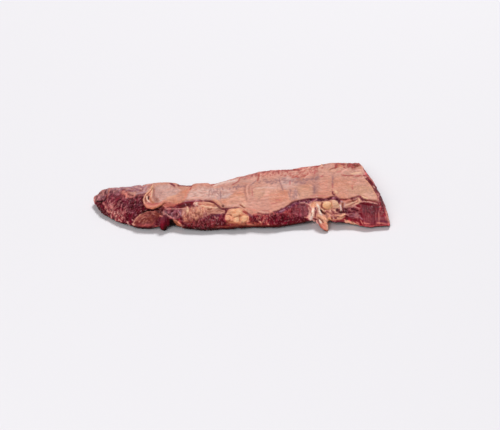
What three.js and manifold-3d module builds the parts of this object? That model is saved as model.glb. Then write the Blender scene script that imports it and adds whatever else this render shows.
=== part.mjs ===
// A raw skirt steak lying on its flat underside: a long slab of beef with a blunt rounded nose at one
// end and a knife cut at the other. A sheet of silverskin covers the upper face. Its near edge stands
// proud of the red flank below, where lumps of fat, loose film and one hanging strip of fat show.
// Millimetres. +X runs from the nose to the cut end, +Y to the far side and +Z up.

import * as THREE from 'three';
import { mergeVertices } from 'three/addons/utils/BufferGeometryUtils.js';
import Module from 'manifold-3d';

const wasm = await Module();
wasm.setup();

// Overall sizes: length, how far back the nose is rounded and how high its tip stands, and how proud
// of the flank the near edge of the silverskin is
const LENGTH = 274;
const NOSE_RADIUS = 13;
const NOSE_HEIGHT = 6.5;
const SHEET_STEP = 1.6;

// Sizes of the slab at stations along it. x is the distance from the nose. near and far are how far
// the two flanks reach from the axis. ledge and ledgeTop are the place and height of the sheet's near
// edge, crown is the height of the upper face between the edges, farTop that of the far shoulder, and
// lift is how far the near edge of the underside curls up off the board.
const COLUMNS = ['near', 'ledge', 'ledgeTop', 'crown', 'far', 'farTop', 'lift'];
const STATIONS = [
  { x: 0, near: -6, ledge: 0, ledgeTop: 9, crown: 10.5, far: 14, farTop: 9, lift: 1.2 },
  { x: 14, near: -27, ledge: -13, ledgeTop: 13, crown: 15.5, far: 15, farTop: 12.5, lift: 0.6 },
  { x: 30, near: -43, ledge: -27, ledgeTop: 16, crown: 19, far: 12, farTop: 15.5, lift: 0.4 },
  { x: 50, near: -52, ledge: -37, ledgeTop: 18, crown: 21, far: 11, farTop: 17.5, lift: 0.4 },
  { x: 72, near: -52, ledge: -34, ledgeTop: 19.5, crown: 21, far: 13, farTop: 18, lift: 2.8 },
  { x: 92, near: -57, ledge: -32, ledgeTop: 20, crown: 19.5, far: 14, farTop: 15.5, lift: 0.4 },
  { x: 118, near: -58.5, ledge: -39, ledgeTop: 18, crown: 17.5, far: 21, farTop: 14, lift: 0.2 },
  { x: 140, near: -58, ledge: -45, ledgeTop: 17, crown: 17, far: 33, farTop: 14, lift: 0.6 },
  { x: 164, near: -58, ledge: -54.5, ledgeTop: 15, crown: 17.5, far: 43, farTop: 14.5, lift: 0.9 },
  { x: 186, near: -56, ledge: -40, ledgeTop: 17, crown: 18, far: 45, farTop: 14.5, lift: 1.8 },
  { x: 208, near: -51, ledge: -30, ledgeTop: 18.5, crown: 17.5, far: 50, farTop: 15, lift: 4.6 },
  { x: 230, near: -56, ledge: -30, ledgeTop: 18.5, crown: 17.5, far: 57, farTop: 14.5, lift: 3 },
  { x: 252, near: -61.5, ledge: -32, ledgeTop: 17.5, crown: 17, far: 59, farTop: 14, lift: 0.4 },
  { x: 274, near: -59.5, ledge: -38, ledgeTop: 16, crown: 16, far: 59, farTop: 13, lift: 0.2 },
];

// The knife cut. It leans outwards towards the board and bows round to the far corner.
const CUT = { lean: 9, bow: 13, dome: 1.6, blendLength: 62 };

// Grid of the slab: steps along it, and steps between neighbouring rails round each section
const NOSE_STEPS = 5;
const LENGTH_STEPS = 70;
const CUT_RINGS = 3;
const RAIL_STEPS = [3, 2, 2, 6, 1, 6, 7, 5, 3, 2, 2, 3];

// Lumps of fat and meat that bulge from the slab: middle, half sizes, and turn about X in degrees
const FAT_NODULES = [
  { at: [128.5, -45, 13.2], size: [5.4, 4.6, 4.4] },
  { at: [136.8, -47.2, 12.5], size: [5.6, 4.8, 4.2] },
  { at: [124, -50.8, 9.9], size: [4.8, 5, 4.8] },
  { at: [132.5, -52, 9.4], size: [5.8, 5.4, 5] },
  { at: [141, -51.8, 9.7], size: [5.2, 4.8, 4.8] },
  { at: [128.5, -55.6, 6], size: [5.2, 4.2, 3.8] },
  { at: [137.5, -56.2, 5.8], size: [4.6, 3.6, 3.6] },
  { at: [146, -48.2, 12.8], size: [4.8, 4.2, 3.6] },
];
const FAT_CLUSTER = [
  { at: [215, -37.5, 14.8], size: [6.4, 6, 5.6] },
  { at: [222.8, -37.5, 15], size: [4.8, 4.6, 4.2] },
  { at: [208, -41, 13.4], size: [3.8, 5.4, 4.8] },
  { at: [219, -48.4, 10.6], size: [5, 4.6, 4.2] },
  { at: [226.6, -49.4, 10.2], size: [4.8, 4.6, 4.2] },
  { at: [233.6, -48.8, 10.4], size: [5.4, 4.4, 3.4] },
  { at: [224, -53, 7.4], size: [6.2, 3.6, 3] },
];
const SHEET_BUD = { at: [226.5, -22, 17.8], size: [3.4, 3.2, 2.3] };
const FLANK_LEAF = { at: [55.3, -48, 9.8], size: [14, 7.4, 2.8], turn: 50 };
const MEAT_DROP = { at: [65.2, -51.6, 7.4], size: [3.6, 3.8, 6.9] };

// Hollows pressed into the slab: the pocket inside the curl and the notch beside the drop of meat
const HOLLOWS = [
  { at: [54, -25.5, 22.4], size: [3.6, 8, 3.2] },
  { at: [74.5, -55, 7.6], size: [6.4, 5.4, 3.4], turn: -20 },
];

// Rolled edges, folds and strips: points along each as [x, y, z, radius]
const SHEET_CURL = [
  [58, -5, 20.2, 0.8],
  [53, -13.5, 21.2, 1.9],
  [48.8, -23, 20.4, 2.4],
  [48.2, -31.5, 18.6, 2.4],
  [51.2, -38, 16.8, 2.2],
  [57.2, -40.8, 16.3, 2],
  [63.4, -37.8, 17.3, 1.8],
  [69, -33.8, 18.3, 1.6],
  [77, -30.6, 18.4, 0.9],
];
const HANGING_STRIP = [
  [206, -40, 14, 2],
  [207, -47, 12, 2.9],
  [208.6, -53, 9.2, 3.9],
  [211, -58.5, 6, 3.9],
  [213.5, -62.5, 3.2, 2.5],
  [215.4, -65, 1.4, 0.9],
];
const FOLDS = [
  [[203, -34, 16.2, 1.5], [200.5, -43, 13, 2.6], [201, -51, 7.6, 2]],
  [[212, -41, 13, 2], [213.5, -49, 10.2, 3], [215.5, -55.5, 6.4, 1.8]],
  [[64, -39.8, 15.2, 1], [77, -39.8, 15, 2.4], [90, -38, 16, 1.6]],
  [[101, -31.4, 18, 1], [111, -32.2, 17.9, 2.6], [118, -37.6, 16.6, 2.8], [124.5, -44.6, 13.2, 1.6]],
  [[95, -31.6, 17.2, 1.6], [88, -42.8, 13.8, 3.8], [85, -54, 8, 2.8]],
  [[96, -31.6, 17.2, 1.6], [93.6, -44.3, 13.2, 3.6], [91.5, -55.4, 7.2, 3.2]],
  [[97, -31.6, 17.2, 1.6], [99.6, -44.3, 13.2, 3.6], [100, -56, 7, 3]],
  [[98, -31.6, 17.2, 1.6], [105.6, -42.8, 14.2, 3.4], [110, -54, 8.6, 2.4]],
  [[229, 23, 15.4, 0.9], [242, 13.5, 16.4, 2], [258, 18, 15.3, 1.1]],
  [[234, -29.4, 15.9, 0.9], [244, -33, 15.5, 2], [253, -37, 14.3, 2], [264, -39, 13.1, 0.9]],
  [[224, -46.8, 11.5, 1.2], [232, -43.2, 12.6, 2.1], [240, -43.8, 11.8, 2], [249, -43.2, 11.8, 0.9]],
];

// How finely a lump and a strip are divided, and how far a lump strays from its even form
const LUMP_SIDES = 12;
const LUMP_BANDS = 8;
const LUMP_ROUGHNESS = 0.16;
const STRIP_SIDES = 6;
const STRIP_STEP = 3;

// Broad unevenness: how deep it is and how long its waves are along and across the slab
const SWELL = { depth: 1.1, along: 27, across: 19, seed: 3 };
const FLANK_GROOVES = { depth: 1.5, along: 8.5, across: 30, seed: 11 };

const lerp = THREE.MathUtils.lerp;
const smoothstep = THREE.MathUtils.smoothstep;

const profile = new THREE.CubicInterpolant(
  STATIONS.map((station) => station.x),
  STATIONS.flatMap((station) => COLUMNS.map((name) => station[name])),
  COLUMNS.length,
);

// Named sizes of the slab at a distance from the nose.
function sizesAt(x) {
  const values = profile.evaluate(x);
  return Object.fromEntries(COLUMNS.map((name, i) => [name, values[i]]));
}

// A repeatable random value from 0 to 1 for a lattice point.
function lattice(i, j, seed) {
  const s = Math.sin(i * 127.1 + j * 311.7 + seed * 74.7) * 43758.5453;
  return s - Math.floor(s);
}

// Smooth noise from -1 to 1 over the plane.
function noise(u, v, seed) {
  const i = Math.floor(u);
  const j = Math.floor(v);
  const a = smoothstep(u - i, 0, 1);
  const b = smoothstep(v - j, 0, 1);
  const low = lerp(lattice(i, j, seed), lattice(i + 1, j, seed), a);
  const high = lerp(lattice(i, j + 1, seed), lattice(i + 1, j + 1, seed), a);
  return 2 * lerp(low, high, b) - 1;
}

// How much the nose rounds a section down, from 0 at its tip to 1 behind it.
function noseScale(x) {
  const behind = Math.min(x / NOSE_RADIUS, 1);
  return Math.sqrt(1 - (1 - behind) ** 2);
}

// The corners of one section, from the middle of the underside round by the near flank.
function railsAt(x) {
  const s = sizesAt(x);
  const scale = noseScale(x);
  const middle = (s.near + s.far) / 2;
  const rails = [
    [middle, 0],
    [s.near + 11, s.lift * 0.2],
    [s.near + 1.6, 1.5 + s.lift],
    [s.near, s.ledgeTop * 0.38 + s.lift * 0.6],
    [s.ledge - 1.3, s.ledgeTop - SHEET_STEP],
    [s.ledge + 0.8, s.ledgeTop],
    [lerp(s.ledge, s.far, 0.3), lerp(s.ledgeTop, s.crown, 0.8)],
    [lerp(s.ledge, s.far, 0.65), s.crown],
    [s.far - 6, s.farTop],
    [s.far, s.farTop * 0.5],
    [s.far - 3.5, 1.4],
    [s.far - 13, 0],
  ];
  return rails.map(([y, z]) => new THREE.Vector3(
    0,
    lerp(middle, y, scale),
    lerp(NOSE_HEIGHT, z, scale),
  ));
}

// How far a point of the last section lies back from the plane x = LENGTH.
function cutSetback(y, z) {
  const acrossFromNear = Math.max(y + 46, 0) / 100;
  return CUT.bow * acrossFromNear ** 2 + (CUT.lean * z) / 17;
}

// The relief of the skin, in mm along its normal, at a rail position from 0 to 12.
function reliefAt(x, y, z, rail) {
  const top = smoothstep(rail, 4.2, 5) * (1 - smoothstep(rail, 8, 9));
  const flank = smoothstep(rail, 1.5, 2.5) * (1 - smoothstep(rail, 3.6, 4));
  const farFlank = smoothstep(rail, 7.8, 9) * (1 - smoothstep(rail, 10, 10.6));
  const swell = noise(x / SWELL.along, y / SWELL.across, SWELL.seed);
  const grooves = noise(x / FLANK_GROOVES.along, z / FLANK_GROOVES.across, FLANK_GROOVES.seed);
  return SWELL.depth * swell * top + FLANK_GROOVES.depth * grooves * (flank + 0.7 * farFlank);
}

// Distances from the nose of the section planes: close together round the nose, then even.
function sectionPlanes() {
  const planes = [];
  for (let k = 1; k <= NOSE_STEPS; k += 1) {
    planes.push(NOSE_RADIUS * (1 - Math.cos((k / NOSE_STEPS) * (Math.PI / 2))));
  }
  for (let k = 1; k <= LENGTH_STEPS; k += 1) {
    planes.push(lerp(NOSE_RADIUS, LENGTH, k / LENGTH_STEPS));
  }
  return planes;
}

// One ring of points round the slab.
function ringAt(x) {
  const outline = new THREE.CatmullRomCurve3(railsAt(x), true, 'centripetal');
  const blend = smoothstep(x, LENGTH - CUT.blendLength, LENGTH);
  const ring = [];
  RAIL_STEPS.forEach((steps, rail) => {
    for (let k = 0; k < steps; k += 1) {
      const at = rail + k / steps;
      const t = at / RAIL_STEPS.length;
      const point = outline.getPoint(t);
      const tangent = outline.getTangent(t);
      const relief = reliefAt(x, point.y, point.z, at) * noseScale(x);
      const y = point.y - tangent.z * relief;
      const z = Math.max(point.z + tangent.y * relief, 0);
      ring.push(new THREE.Vector3(x - blend * cutSetback(y, z), y, z));
    }
  });
  return ring;
}

// Rings that close the cut end: the last section drawn in towards its middle, slightly domed.
function cutRings(last) {
  const middle = last.reduce((sum, p) => sum.add(p), new THREE.Vector3()).divideScalar(last.length);
  const rings = [];
  for (let k = 1; k <= CUT_RINGS; k += 1) {
    const share = 1 - k / (CUT_RINGS + 1);
    rings.push(last.map((p) => {
      const y = lerp(middle.y, p.y, share);
      const z = lerp(middle.z, p.z, share);
      return new THREE.Vector3(LENGTH - cutSetback(y, z) + CUT.dome * (1 - share ** 2), y, z);
    }));
  }
  return rings;
}

// A closed geometry skinned over rings of equal count, with a fan at each end.
function skin(rings) {
  const count = rings[0].length;
  const points = rings.flat();
  const ends = [rings[0], rings[rings.length - 1]];
  ends.forEach((ring) => {
    points.push(ring.reduce((sum, p) => sum.add(p), new THREE.Vector3()).divideScalar(count));
  });
  const [startMiddle, endMiddle] = [points.length - 2, points.length - 1];
  const index = [];
  for (let j = 0; j < count; j += 1) {
    const next = (j + 1) % count;
    index.push(startMiddle, j, next);
    const lastRow = (rings.length - 1) * count;
    index.push(endMiddle, lastRow + next, lastRow + j);
    for (let i = 0; i + 1 < rings.length; i += 1) {
      const a = i * count + j;
      const b = i * count + next;
      index.push(a, a + count, b, b, a + count, b + count);
    }
  }
  const geometry = new THREE.BufferGeometry();
  geometry.setAttribute(
    'position',
    new THREE.Float32BufferAttribute(points.flatMap((p) => [p.x, p.y, p.z]), 3),
  );
  geometry.setIndex(index);
  return geometry;
}

// The slab of muscle under its sheet of silverskin.
function makeSlab() {
  const rings = sectionPlanes().map(ringAt);
  return skin([...rings, ...cutRings(rings[rings.length - 1])]);
}

// A manifold-3d solid from a closed geometry.
function solidOf(geometry) {
  const bare = geometry.clone();
  bare.deleteAttribute('normal');
  bare.deleteAttribute('uv');
  const merged = mergeVertices(bare, 1e-3);
  return new wasm.Manifold(new wasm.Mesh({
    numProp: 3,
    vertProperties: merged.attributes.position.array,
    triVerts: new Uint32Array(merged.index.array),
  }));
}

// A BufferGeometry from a manifold-3d solid.
function geometryOf(solid) {
  const mesh = solid.getMesh();
  const geometry = new THREE.BufferGeometry();
  geometry.setAttribute('position', new THREE.BufferAttribute(new Float32Array(mesh.vertProperties), 3));
  geometry.setIndex(new THREE.BufferAttribute(new Uint32Array(mesh.triVerts), 1));
  geometry.computeVertexNormals();
  return geometry;
}

// A lump: a sphere pressed and stretched to its half sizes, slightly uneven.
function makeLump({ at, size, turn = 0 }, seed) {
  const geometry = new THREE.SphereGeometry(1, LUMP_SIDES, LUMP_BANDS);
  const position = geometry.attributes.position;
  const point = new THREE.Vector3();
  for (let i = 0; i < position.count; i += 1) {
    point.fromBufferAttribute(position, i);
    point.multiplyScalar(1 + LUMP_ROUGHNESS * noise(2 * point.x + point.z, 2 * point.y - point.z, seed));
    position.setXYZ(i, point.x * size[0], point.y * size[1], point.z * size[2]);
  }
  geometry.rotateX(THREE.MathUtils.degToRad(turn));
  geometry.translate(...at);
  return geometry;
}

// A round strip or fold along a smooth path, with a radius at each of the path's points.
function makeStrip(path) {
  const curve = new THREE.CatmullRomCurve3(path.map(([x, y, z]) => new THREE.Vector3(x, y, z)));
  const steps = Math.max(4, Math.round(curve.getLength() / STRIP_STEP));
  const rings = [];
  for (let i = 0; i <= steps; i += 1) {
    const t = i / steps;
    const along = t * (path.length - 1);
    const k = Math.min(Math.floor(along), path.length - 2);
    const radius = lerp(path[k][3], path[k + 1][3], along - k);
    const middle = curve.getPoint(t);
    const forward = curve.getTangent(t);
    const side = new THREE.Vector3(0, 0, 1).cross(forward).normalize();
    const up = forward.clone().cross(side);
    rings.push(Array.from({ length: STRIP_SIDES }, (_, j) => {
      const angle = (-2 * Math.PI * j) / STRIP_SIDES;
      return middle.clone()
        .addScaledVector(side, radius * Math.cos(angle))
        .addScaledVector(up, radius * Math.sin(angle));
    }));
  }
  return skin(rings);
}

// The slab with its hollows, and every lump, fold and strip fused to it.
function makeWhole() {
  const lumps = [...FAT_NODULES, ...FAT_CLUSTER, SHEET_BUD, FLANK_LEAF, MEAT_DROP];
  const strips = [SHEET_CURL, HANGING_STRIP, ...FOLDS];
  const growths = [...lumps.map(makeLump), ...strips.map(makeStrip)];
  const hollowed = HOLLOWS.map(makeLump).reduce(
    (solid, hollow) => solid.subtract(solidOf(hollow)),
    solidOf(makeSlab()),
  );
  return growths.reduce((solid, growth) => solid.add(solidOf(growth)), hollowed);
}

// The steak set down with the middle of its box over the origin.
function makeSteak() {
  const geometry = geometryOf(makeWhole());
  geometry.computeBoundingBox();
  const { min, max } = geometry.boundingBox;
  geometry.translate(-(min.x + max.x) / 2, -(min.y + max.y) / 2, -min.z);
  return geometry;
}

const rawBeef = new THREE.MeshStandardMaterial({ color: 0xb5655c, roughness: 0.45, metalness: 0 });
const steak = new THREE.Mesh(makeSteak(), rawBeef);
steak.name = 'skirt_steak';

const group = new THREE.Group();
group.add(steak);

export default group;
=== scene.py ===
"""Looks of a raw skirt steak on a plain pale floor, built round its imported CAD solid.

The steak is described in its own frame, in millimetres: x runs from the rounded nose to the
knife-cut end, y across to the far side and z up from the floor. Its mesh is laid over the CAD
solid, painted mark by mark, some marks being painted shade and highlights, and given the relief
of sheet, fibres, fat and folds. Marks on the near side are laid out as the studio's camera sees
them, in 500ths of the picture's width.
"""

import logging
import math
from dataclasses import dataclass, field
from enum import Enum
from typing import NamedTuple

import bpy
import numpy as np
from mathutils import Matrix, Vector


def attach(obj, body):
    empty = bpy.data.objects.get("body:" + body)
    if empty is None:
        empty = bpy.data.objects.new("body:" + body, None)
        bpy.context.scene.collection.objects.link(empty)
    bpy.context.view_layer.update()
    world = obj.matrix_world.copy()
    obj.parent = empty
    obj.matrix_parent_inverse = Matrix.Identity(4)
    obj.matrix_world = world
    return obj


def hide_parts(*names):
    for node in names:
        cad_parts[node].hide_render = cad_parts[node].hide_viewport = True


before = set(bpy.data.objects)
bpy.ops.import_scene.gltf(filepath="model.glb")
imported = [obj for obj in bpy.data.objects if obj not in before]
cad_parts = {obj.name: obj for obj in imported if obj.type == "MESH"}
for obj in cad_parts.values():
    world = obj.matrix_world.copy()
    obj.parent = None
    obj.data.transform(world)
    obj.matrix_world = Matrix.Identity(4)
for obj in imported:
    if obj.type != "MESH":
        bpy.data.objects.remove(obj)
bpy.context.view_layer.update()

LOG = logging.getLogger("skirt_steak")
MM = 0.001
NODE = "skirt_steak"
# Added to a place in the steak's own frame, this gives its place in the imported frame
ORIGIN_MM = np.array([-137.3075, 2.8385, 0.0])
TINY = 1e-6

Point2 = tuple[float, float]
Triple = tuple[float, float, float]

# The key light's place in metres, which the painted colours are worked out for too
KEY_PLACE: Triple = (0.8, 2.8, 4.2)


def smooth(value: np.ndarray, low: float, high: float) -> np.ndarray:
    """Hermite step from 0 at low to 1 at high."""
    t = np.clip((value - low) / (high - low), 0.0, 1.0)
    return t * t * (3.0 - 2.0 * t)


def bell(value: np.ndarray, width: float) -> np.ndarray:
    """Bell curve that is 1 at 0 and falls off over width."""
    return np.exp(-((value / width) ** 2))


def linear(colour: np.ndarray) -> np.ndarray:
    """Linear light of sRGB display values.

    Args:
        colour: display values from 0 to 255.

    Returns:
        The light of each, from 0 to 1.
    """
    knee, slope, offset, power = 0.04045, 12.92, 0.055, 2.4
    c = np.clip(np.asarray(colour, float) / 255.0, 0.0, 1.0)
    return np.where(c <= knee, c / slope, ((c + offset) / (1.0 + offset)) ** power)


def turned(points: np.ndarray, degrees: float) -> np.ndarray:
    """Points turned about Z, so that x then runs along that direction.

    Args:
        points: places in millimetres.
        degrees: the direction, counted from X towards Y.

    Returns:
        The turned places.
    """
    a = math.radians(degrees)
    x = points[:, 0] * math.cos(a) + points[:, 1] * math.sin(a)
    y = points[:, 1] * math.cos(a) - points[:, 0] * math.sin(a)
    return np.stack([x, y, points[:, 2]], axis=1)


def corners_of(line: str) -> np.ndarray:
    """Corners of a line or outline written as "x,y x,y", one row of two for each."""
    return np.array([pair.split(",") for pair in line.split()], float)


def path_distance(places: np.ndarray, corners: np.ndarray) -> tuple[np.ndarray, np.ndarray]:
    """Distance to a path in a plane.

    Args:
        places: two coordinates for each point.
        corners: corners of the path, one row for each.

    Returns:
        The distance, and the share of the path's length at the nearest point.
    """
    lengths = np.linalg.norm(np.diff(corners, axis=0), axis=1)
    starts = np.concatenate([[0.0], np.cumsum(lengths)])
    best = np.full(len(places), np.inf)
    share = np.zeros(len(places))
    for k, length in enumerate(lengths):
        along = (corners[k + 1] - corners[k]) / max(length, TINY)
        t = np.clip((places - corners[k]) @ along, 0.0, length)
        gap = np.linalg.norm(places - corners[k] - t[:, None] * along, axis=1)
        nearer = gap < best
        best = np.where(nearer, gap, best)
        share = np.where(nearer, (starts[k] + t) / starts[-1], share)
    return best, share


def inside_distance(places: np.ndarray, corners: np.ndarray) -> np.ndarray:
    """Distance to a closed outline in a plane, positive inside it.

    Args:
        places: two coordinates for each point.
        corners: corners of the outline, the last joined to the first.

    Returns:
        One signed distance for each point.
    """
    ring = np.vstack([corners, corners[:1]])
    gap, _ = path_distance(places, ring)
    inside = np.zeros(len(places), bool)
    x, y = places[:, 0], places[:, 1]
    for (x0, y0), (x1, y1) in zip(ring[:-1], ring[1:]):
        if y0 == y1:
            continue
        crosses = (y0 > y) != (y1 > y)
        inside ^= crosses & (x < (x1 - x0) * (y - y0) / (y1 - y0) + x0)
    return np.where(inside, gap, -gap)


def close_to(places: np.ndarray, corners: np.ndarray, reach: float) -> np.ndarray:
    """Which points lie in the box round some corners, widened by a reach."""
    low, high = corners.min(0) - reach, corners.max(0) + reach
    return np.all((places > low) & (places < high), axis=1)


class Noise:
    """Repeatable noise over points in millimetres."""

    PRIMES = (374761393, 668265263, 2246822519)
    SEED_PRIME = 3266489917
    MIXERS = ((13, 1274126177), (15, 2654435761))
    LAST_SHIFT = 16
    WORD = 0xFFFFFFFF
    OCTAVE_SEED_STEP = 17

    @classmethod
    def lattice(cls, cell: np.ndarray, seed: int) -> np.ndarray:
        """Value from 0 to 1 for each whole-numbered cell.

        Args:
            cell: whole-numbered cells, one row of three for each point.
            seed: picks one field among many.

        Returns:
            One value for each cell.
        """
        i = cell.astype(np.int64).astype(np.uint32)
        h = np.full(len(i), seed * cls.SEED_PRIME & cls.WORD, np.uint32)
        for axis, prime in enumerate(cls.PRIMES):
            h = h + i[:, axis] * np.uint32(prime)
        for shift, prime in cls.MIXERS:
            h = (h ^ (h >> np.uint32(shift))) * np.uint32(prime)
        return (h ^ (h >> np.uint32(cls.LAST_SHIFT))).astype(float) / cls.WORD

    @classmethod
    def value(cls, points: np.ndarray, wave: float | Triple, seed: int) -> np.ndarray:
        """Smooth noise from -1 to 1.

        Args:
            points: places in millimetres.
            wave: wave length, or one for each axis.
            seed: picks one field among many.

        Returns:
            One value for each point.
        """
        p = points / np.asarray(wave, float)
        low = np.floor(p)
        t = smooth(p - low, 0.0, 1.0)
        total = np.zeros(len(p))
        for corner in np.ndindex(2, 2, 2):
            step = np.array(corner[::-1])
            weight = np.prod(np.where(step, t, 1.0 - t), axis=1)
            total += weight * cls.lattice(low + step, seed)
        return 2.0 * total - 1.0

    @classmethod
    def cloud(
        cls, points: np.ndarray, wave: float | Triple, seed: int, octaves: int = 3
    ) -> np.ndarray:
        """Sum of noises, each of half the wave length and half the weight of the one before.

        Args:
            points: places in millimetres.
            wave: longest wave length, or one for each axis.
            seed: picks one field among many.
            octaves: how many noises are summed.

        Returns:
            One value from about -1 to 1 for each point.
        """
        total = np.zeros(len(points))
        for k in range(octaves):
            finer = np.asarray(wave, float) / 2**k
            total += cls.value(points, finer, seed + cls.OCTAVE_SEED_STEP * k) / 2**k
        return total / (2.0 - 2.0 ** (1 - octaves))

    @classmethod
    def lobes(cls, points: np.ndarray, wave: float, seed: int) -> tuple[np.ndarray, np.ndarray]:
        """Distance to the nearest of scattered centres, and the gap to the second nearest.

        Args:
            points: places in millimetres.
            wave: mean spacing of the centres.
            seed: picks one scatter among many.

        Returns:
            Both distances as shares of the spacing.
        """
        p = points / wave
        low = np.floor(p)
        first = np.full(len(p), np.inf)
        second = np.full(len(p), np.inf)
        for step in np.ndindex(3, 3, 3):
            cell = low + np.array(step) - 1
            jitter = np.stack([cls.lattice(cell, seed + k) for k in range(3)], axis=1)
            gap = np.linalg.norm(cell + jitter - p, axis=1)
            second = np.minimum(second, np.maximum(first, gap))
            first = np.minimum(first, gap)
        return first, second - first


@dataclass(frozen=True)
class Eye:
    """Camera fitted to the photo: where it stands, how it looks, and its picture plane."""

    place: Triple = (88.72, -1614.93, 796.51)
    forward: Triple = (0.03225, 0.89354, -0.44782)
    right: Triple = (0.99914, -0.04049, -0.00884)
    zoom: float = 1916.73
    centre: Point2 = (250.0, 215.0)

    def axes(self) -> tuple[np.ndarray, np.ndarray, np.ndarray]:
        """Unit vectors of the camera.

        Returns:
            The ways to the right, up and forward.
        """
        forward = np.array(self.forward) / np.linalg.norm(self.forward)
        right = np.array(self.right) - forward * (np.array(self.right) @ forward)
        right /= np.linalg.norm(right)
        return right, np.cross(right, forward), forward

    def front(self, points: np.ndarray) -> np.ndarray:
        """Where points show in the picture.

        Args:
            points: places in millimetres.

        Returns:
            Two coordinates for each point, to the right and down, in 500ths of the width.
        """
        right, up, forward = self.axes()
        ray = points - np.array(self.place)
        depth = ray @ forward
        u = self.centre[0] + self.zoom * (ray @ right) / depth
        v = self.centre[1] - self.zoom * (ray @ up) / depth
        return np.stack([u, v], axis=1)

    def facing(self, points: np.ndarray, normals: np.ndarray) -> np.ndarray:
        """Cosine between each unit normal and the way from its point to the camera."""
        ray = np.array(self.place) - points
        return np.sum(normals * ray, axis=1) / np.linalg.norm(ray, axis=1)


class Tissue(Enum):
    """What a painted region is made of."""

    FLESH = "flesh"
    SHEET = "sheet"
    FAT = "fat"
    LUMP = "lump"


class Seen(Enum):
    """Plane in which an outline is laid out."""

    ABOVE = "above"
    FRONT = "front"


class Ink(Enum):
    """Colours of the meat as display values; the darkest of them is painted shade, not a colour of
    the meat.
    """

    # painted shade: laid only where shadow falls, in gaps, hollows, creases and along the lower rim
    BLACK = (34, 6, 14)
    WINE = (84, 20, 34)
    MAROON = (110, 42, 54)
    RED = (132, 38, 48)
    BRICK = (166, 74, 70)
    ROSE = (188, 98, 98)
    SALMON = (222, 142, 126)
    PINK = (212, 146, 138)
    BLUSH = (236, 178, 164)
    MAUVE = (150, 98, 108)
    PLUM = (108, 52, 78)
    LILAC = (184, 142, 156)
    SLATE = (146, 108, 114)
    DUSK = (170, 116, 108)
    GARNET = (116, 26, 38)
    GREY = (206, 164, 158)
    BLUE_GREY = (200, 164, 164)
    TAN = (208, 148, 130)
    ORANGE = (212, 132, 104)
    OCHRE = (178, 106, 78)
    BROWN = (130, 66, 54)
    OLIVE = (204, 158, 132)
    RUSSET = (122, 60, 54)
    BUTTER = (240, 190, 148)
    PEACH = (234, 172, 142)
    CREAM = (246, 200, 168)
    WHITE = (252, 228, 210)
    SILVER = (238, 212, 206)


@dataclass(frozen=True)
class Region:
    """A painted area: its colour, its outline as "x,y x,y", and how its edge fades."""

    ink: Ink
    outline: str
    fade: float = 2.0
    strength: float = 0.9
    ragged: float = 1.0
    tissue: Tissue | None = None
    seen: Seen = Seen.FRONT
    bulge: float = 0.0

    FRAY_WAVE = 4.0
    MARGIN = 1.0

    def dome(self, places: np.ndarray) -> np.ndarray:
        """Round swelling that the outline encloses.

        Args:
            places: the points in the plane of the outline.

        Returns:
            One height in millimetres for each point.
        """
        gap = np.maximum(inside_distance(places, corners_of(self.outline)), 0.0)
        part = gap / max(gap.max(), TINY)
        return self.bulge * np.sqrt(part * (2.0 - part))

    def cover(self, places: np.ndarray, points: np.ndarray, seed: int) -> np.ndarray:
        """How much the region covers each point, from 0 to 1.

        Args:
            places: the points in the plane of the outline.
            points: the points in millimetres.
            seed: picks how the edge is frayed.

        Returns:
            One share for each point.
        """
        corners = corners_of(self.outline)
        near = close_to(places, corners, self.fade + self.ragged + self.MARGIN)
        share = np.zeros(len(points))
        if near.any():
            gap = inside_distance(places[near], corners)
            gap += self.ragged * Noise.cloud(points[near], self.FRAY_WAVE, seed)
            share[near] = self.strength * smooth(gap, -self.fade / 2, self.fade / 2)
        return share


@dataclass(frozen=True)
class Strand:
    """A thin line with frayed sides that tapers to both ends."""

    corners: np.ndarray
    width: float

    REACH = 2.6
    MARGIN = 0.5
    FRAY = 0.35
    FRAY_WAVE = 2.5
    TAPER = 0.12

    def cover(self, places: np.ndarray, points: np.ndarray, seed: int) -> np.ndarray:
        """How much the strand covers each point, from 0 to 1.

        Args:
            places: the points in the plane of the strand.
            points: the points in millimetres.
            seed: picks how the sides are frayed.

        Returns:
            One share for each point.
        """
        near = close_to(places, self.corners, self.REACH * self.width + self.MARGIN)
        share = np.zeros(len(points))
        if near.any():
            gap, along = path_distance(places[near], self.corners)
            gap = gap * (1.0 + self.FRAY * Noise.value(points[near], self.FRAY_WAVE, seed))
            taper = smooth(along, -self.TAPER, self.TAPER)
            taper *= 1.0 - smooth(along, 1.0 - self.TAPER, 1.0 + self.TAPER)
            share[near] = bell(gap, self.width) * taper
        return share


@dataclass(frozen=True)
class Stroke:
    """A crease, fold, vein, painted shade or painted highlight of the near side: its colour, path,
    width, height and strength.
    """

    ink: Ink
    path: str
    width: float = 0.7
    height: float = 0.0
    strength: float = 0.85

    def cover(self, places: np.ndarray, points: np.ndarray, seed: int) -> np.ndarray:
        """How much the stroke covers each point, from 0 to 1, frayed as its seed says."""
        return Strand(corners_of(self.path), self.width).cover(places, points, seed)


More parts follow.
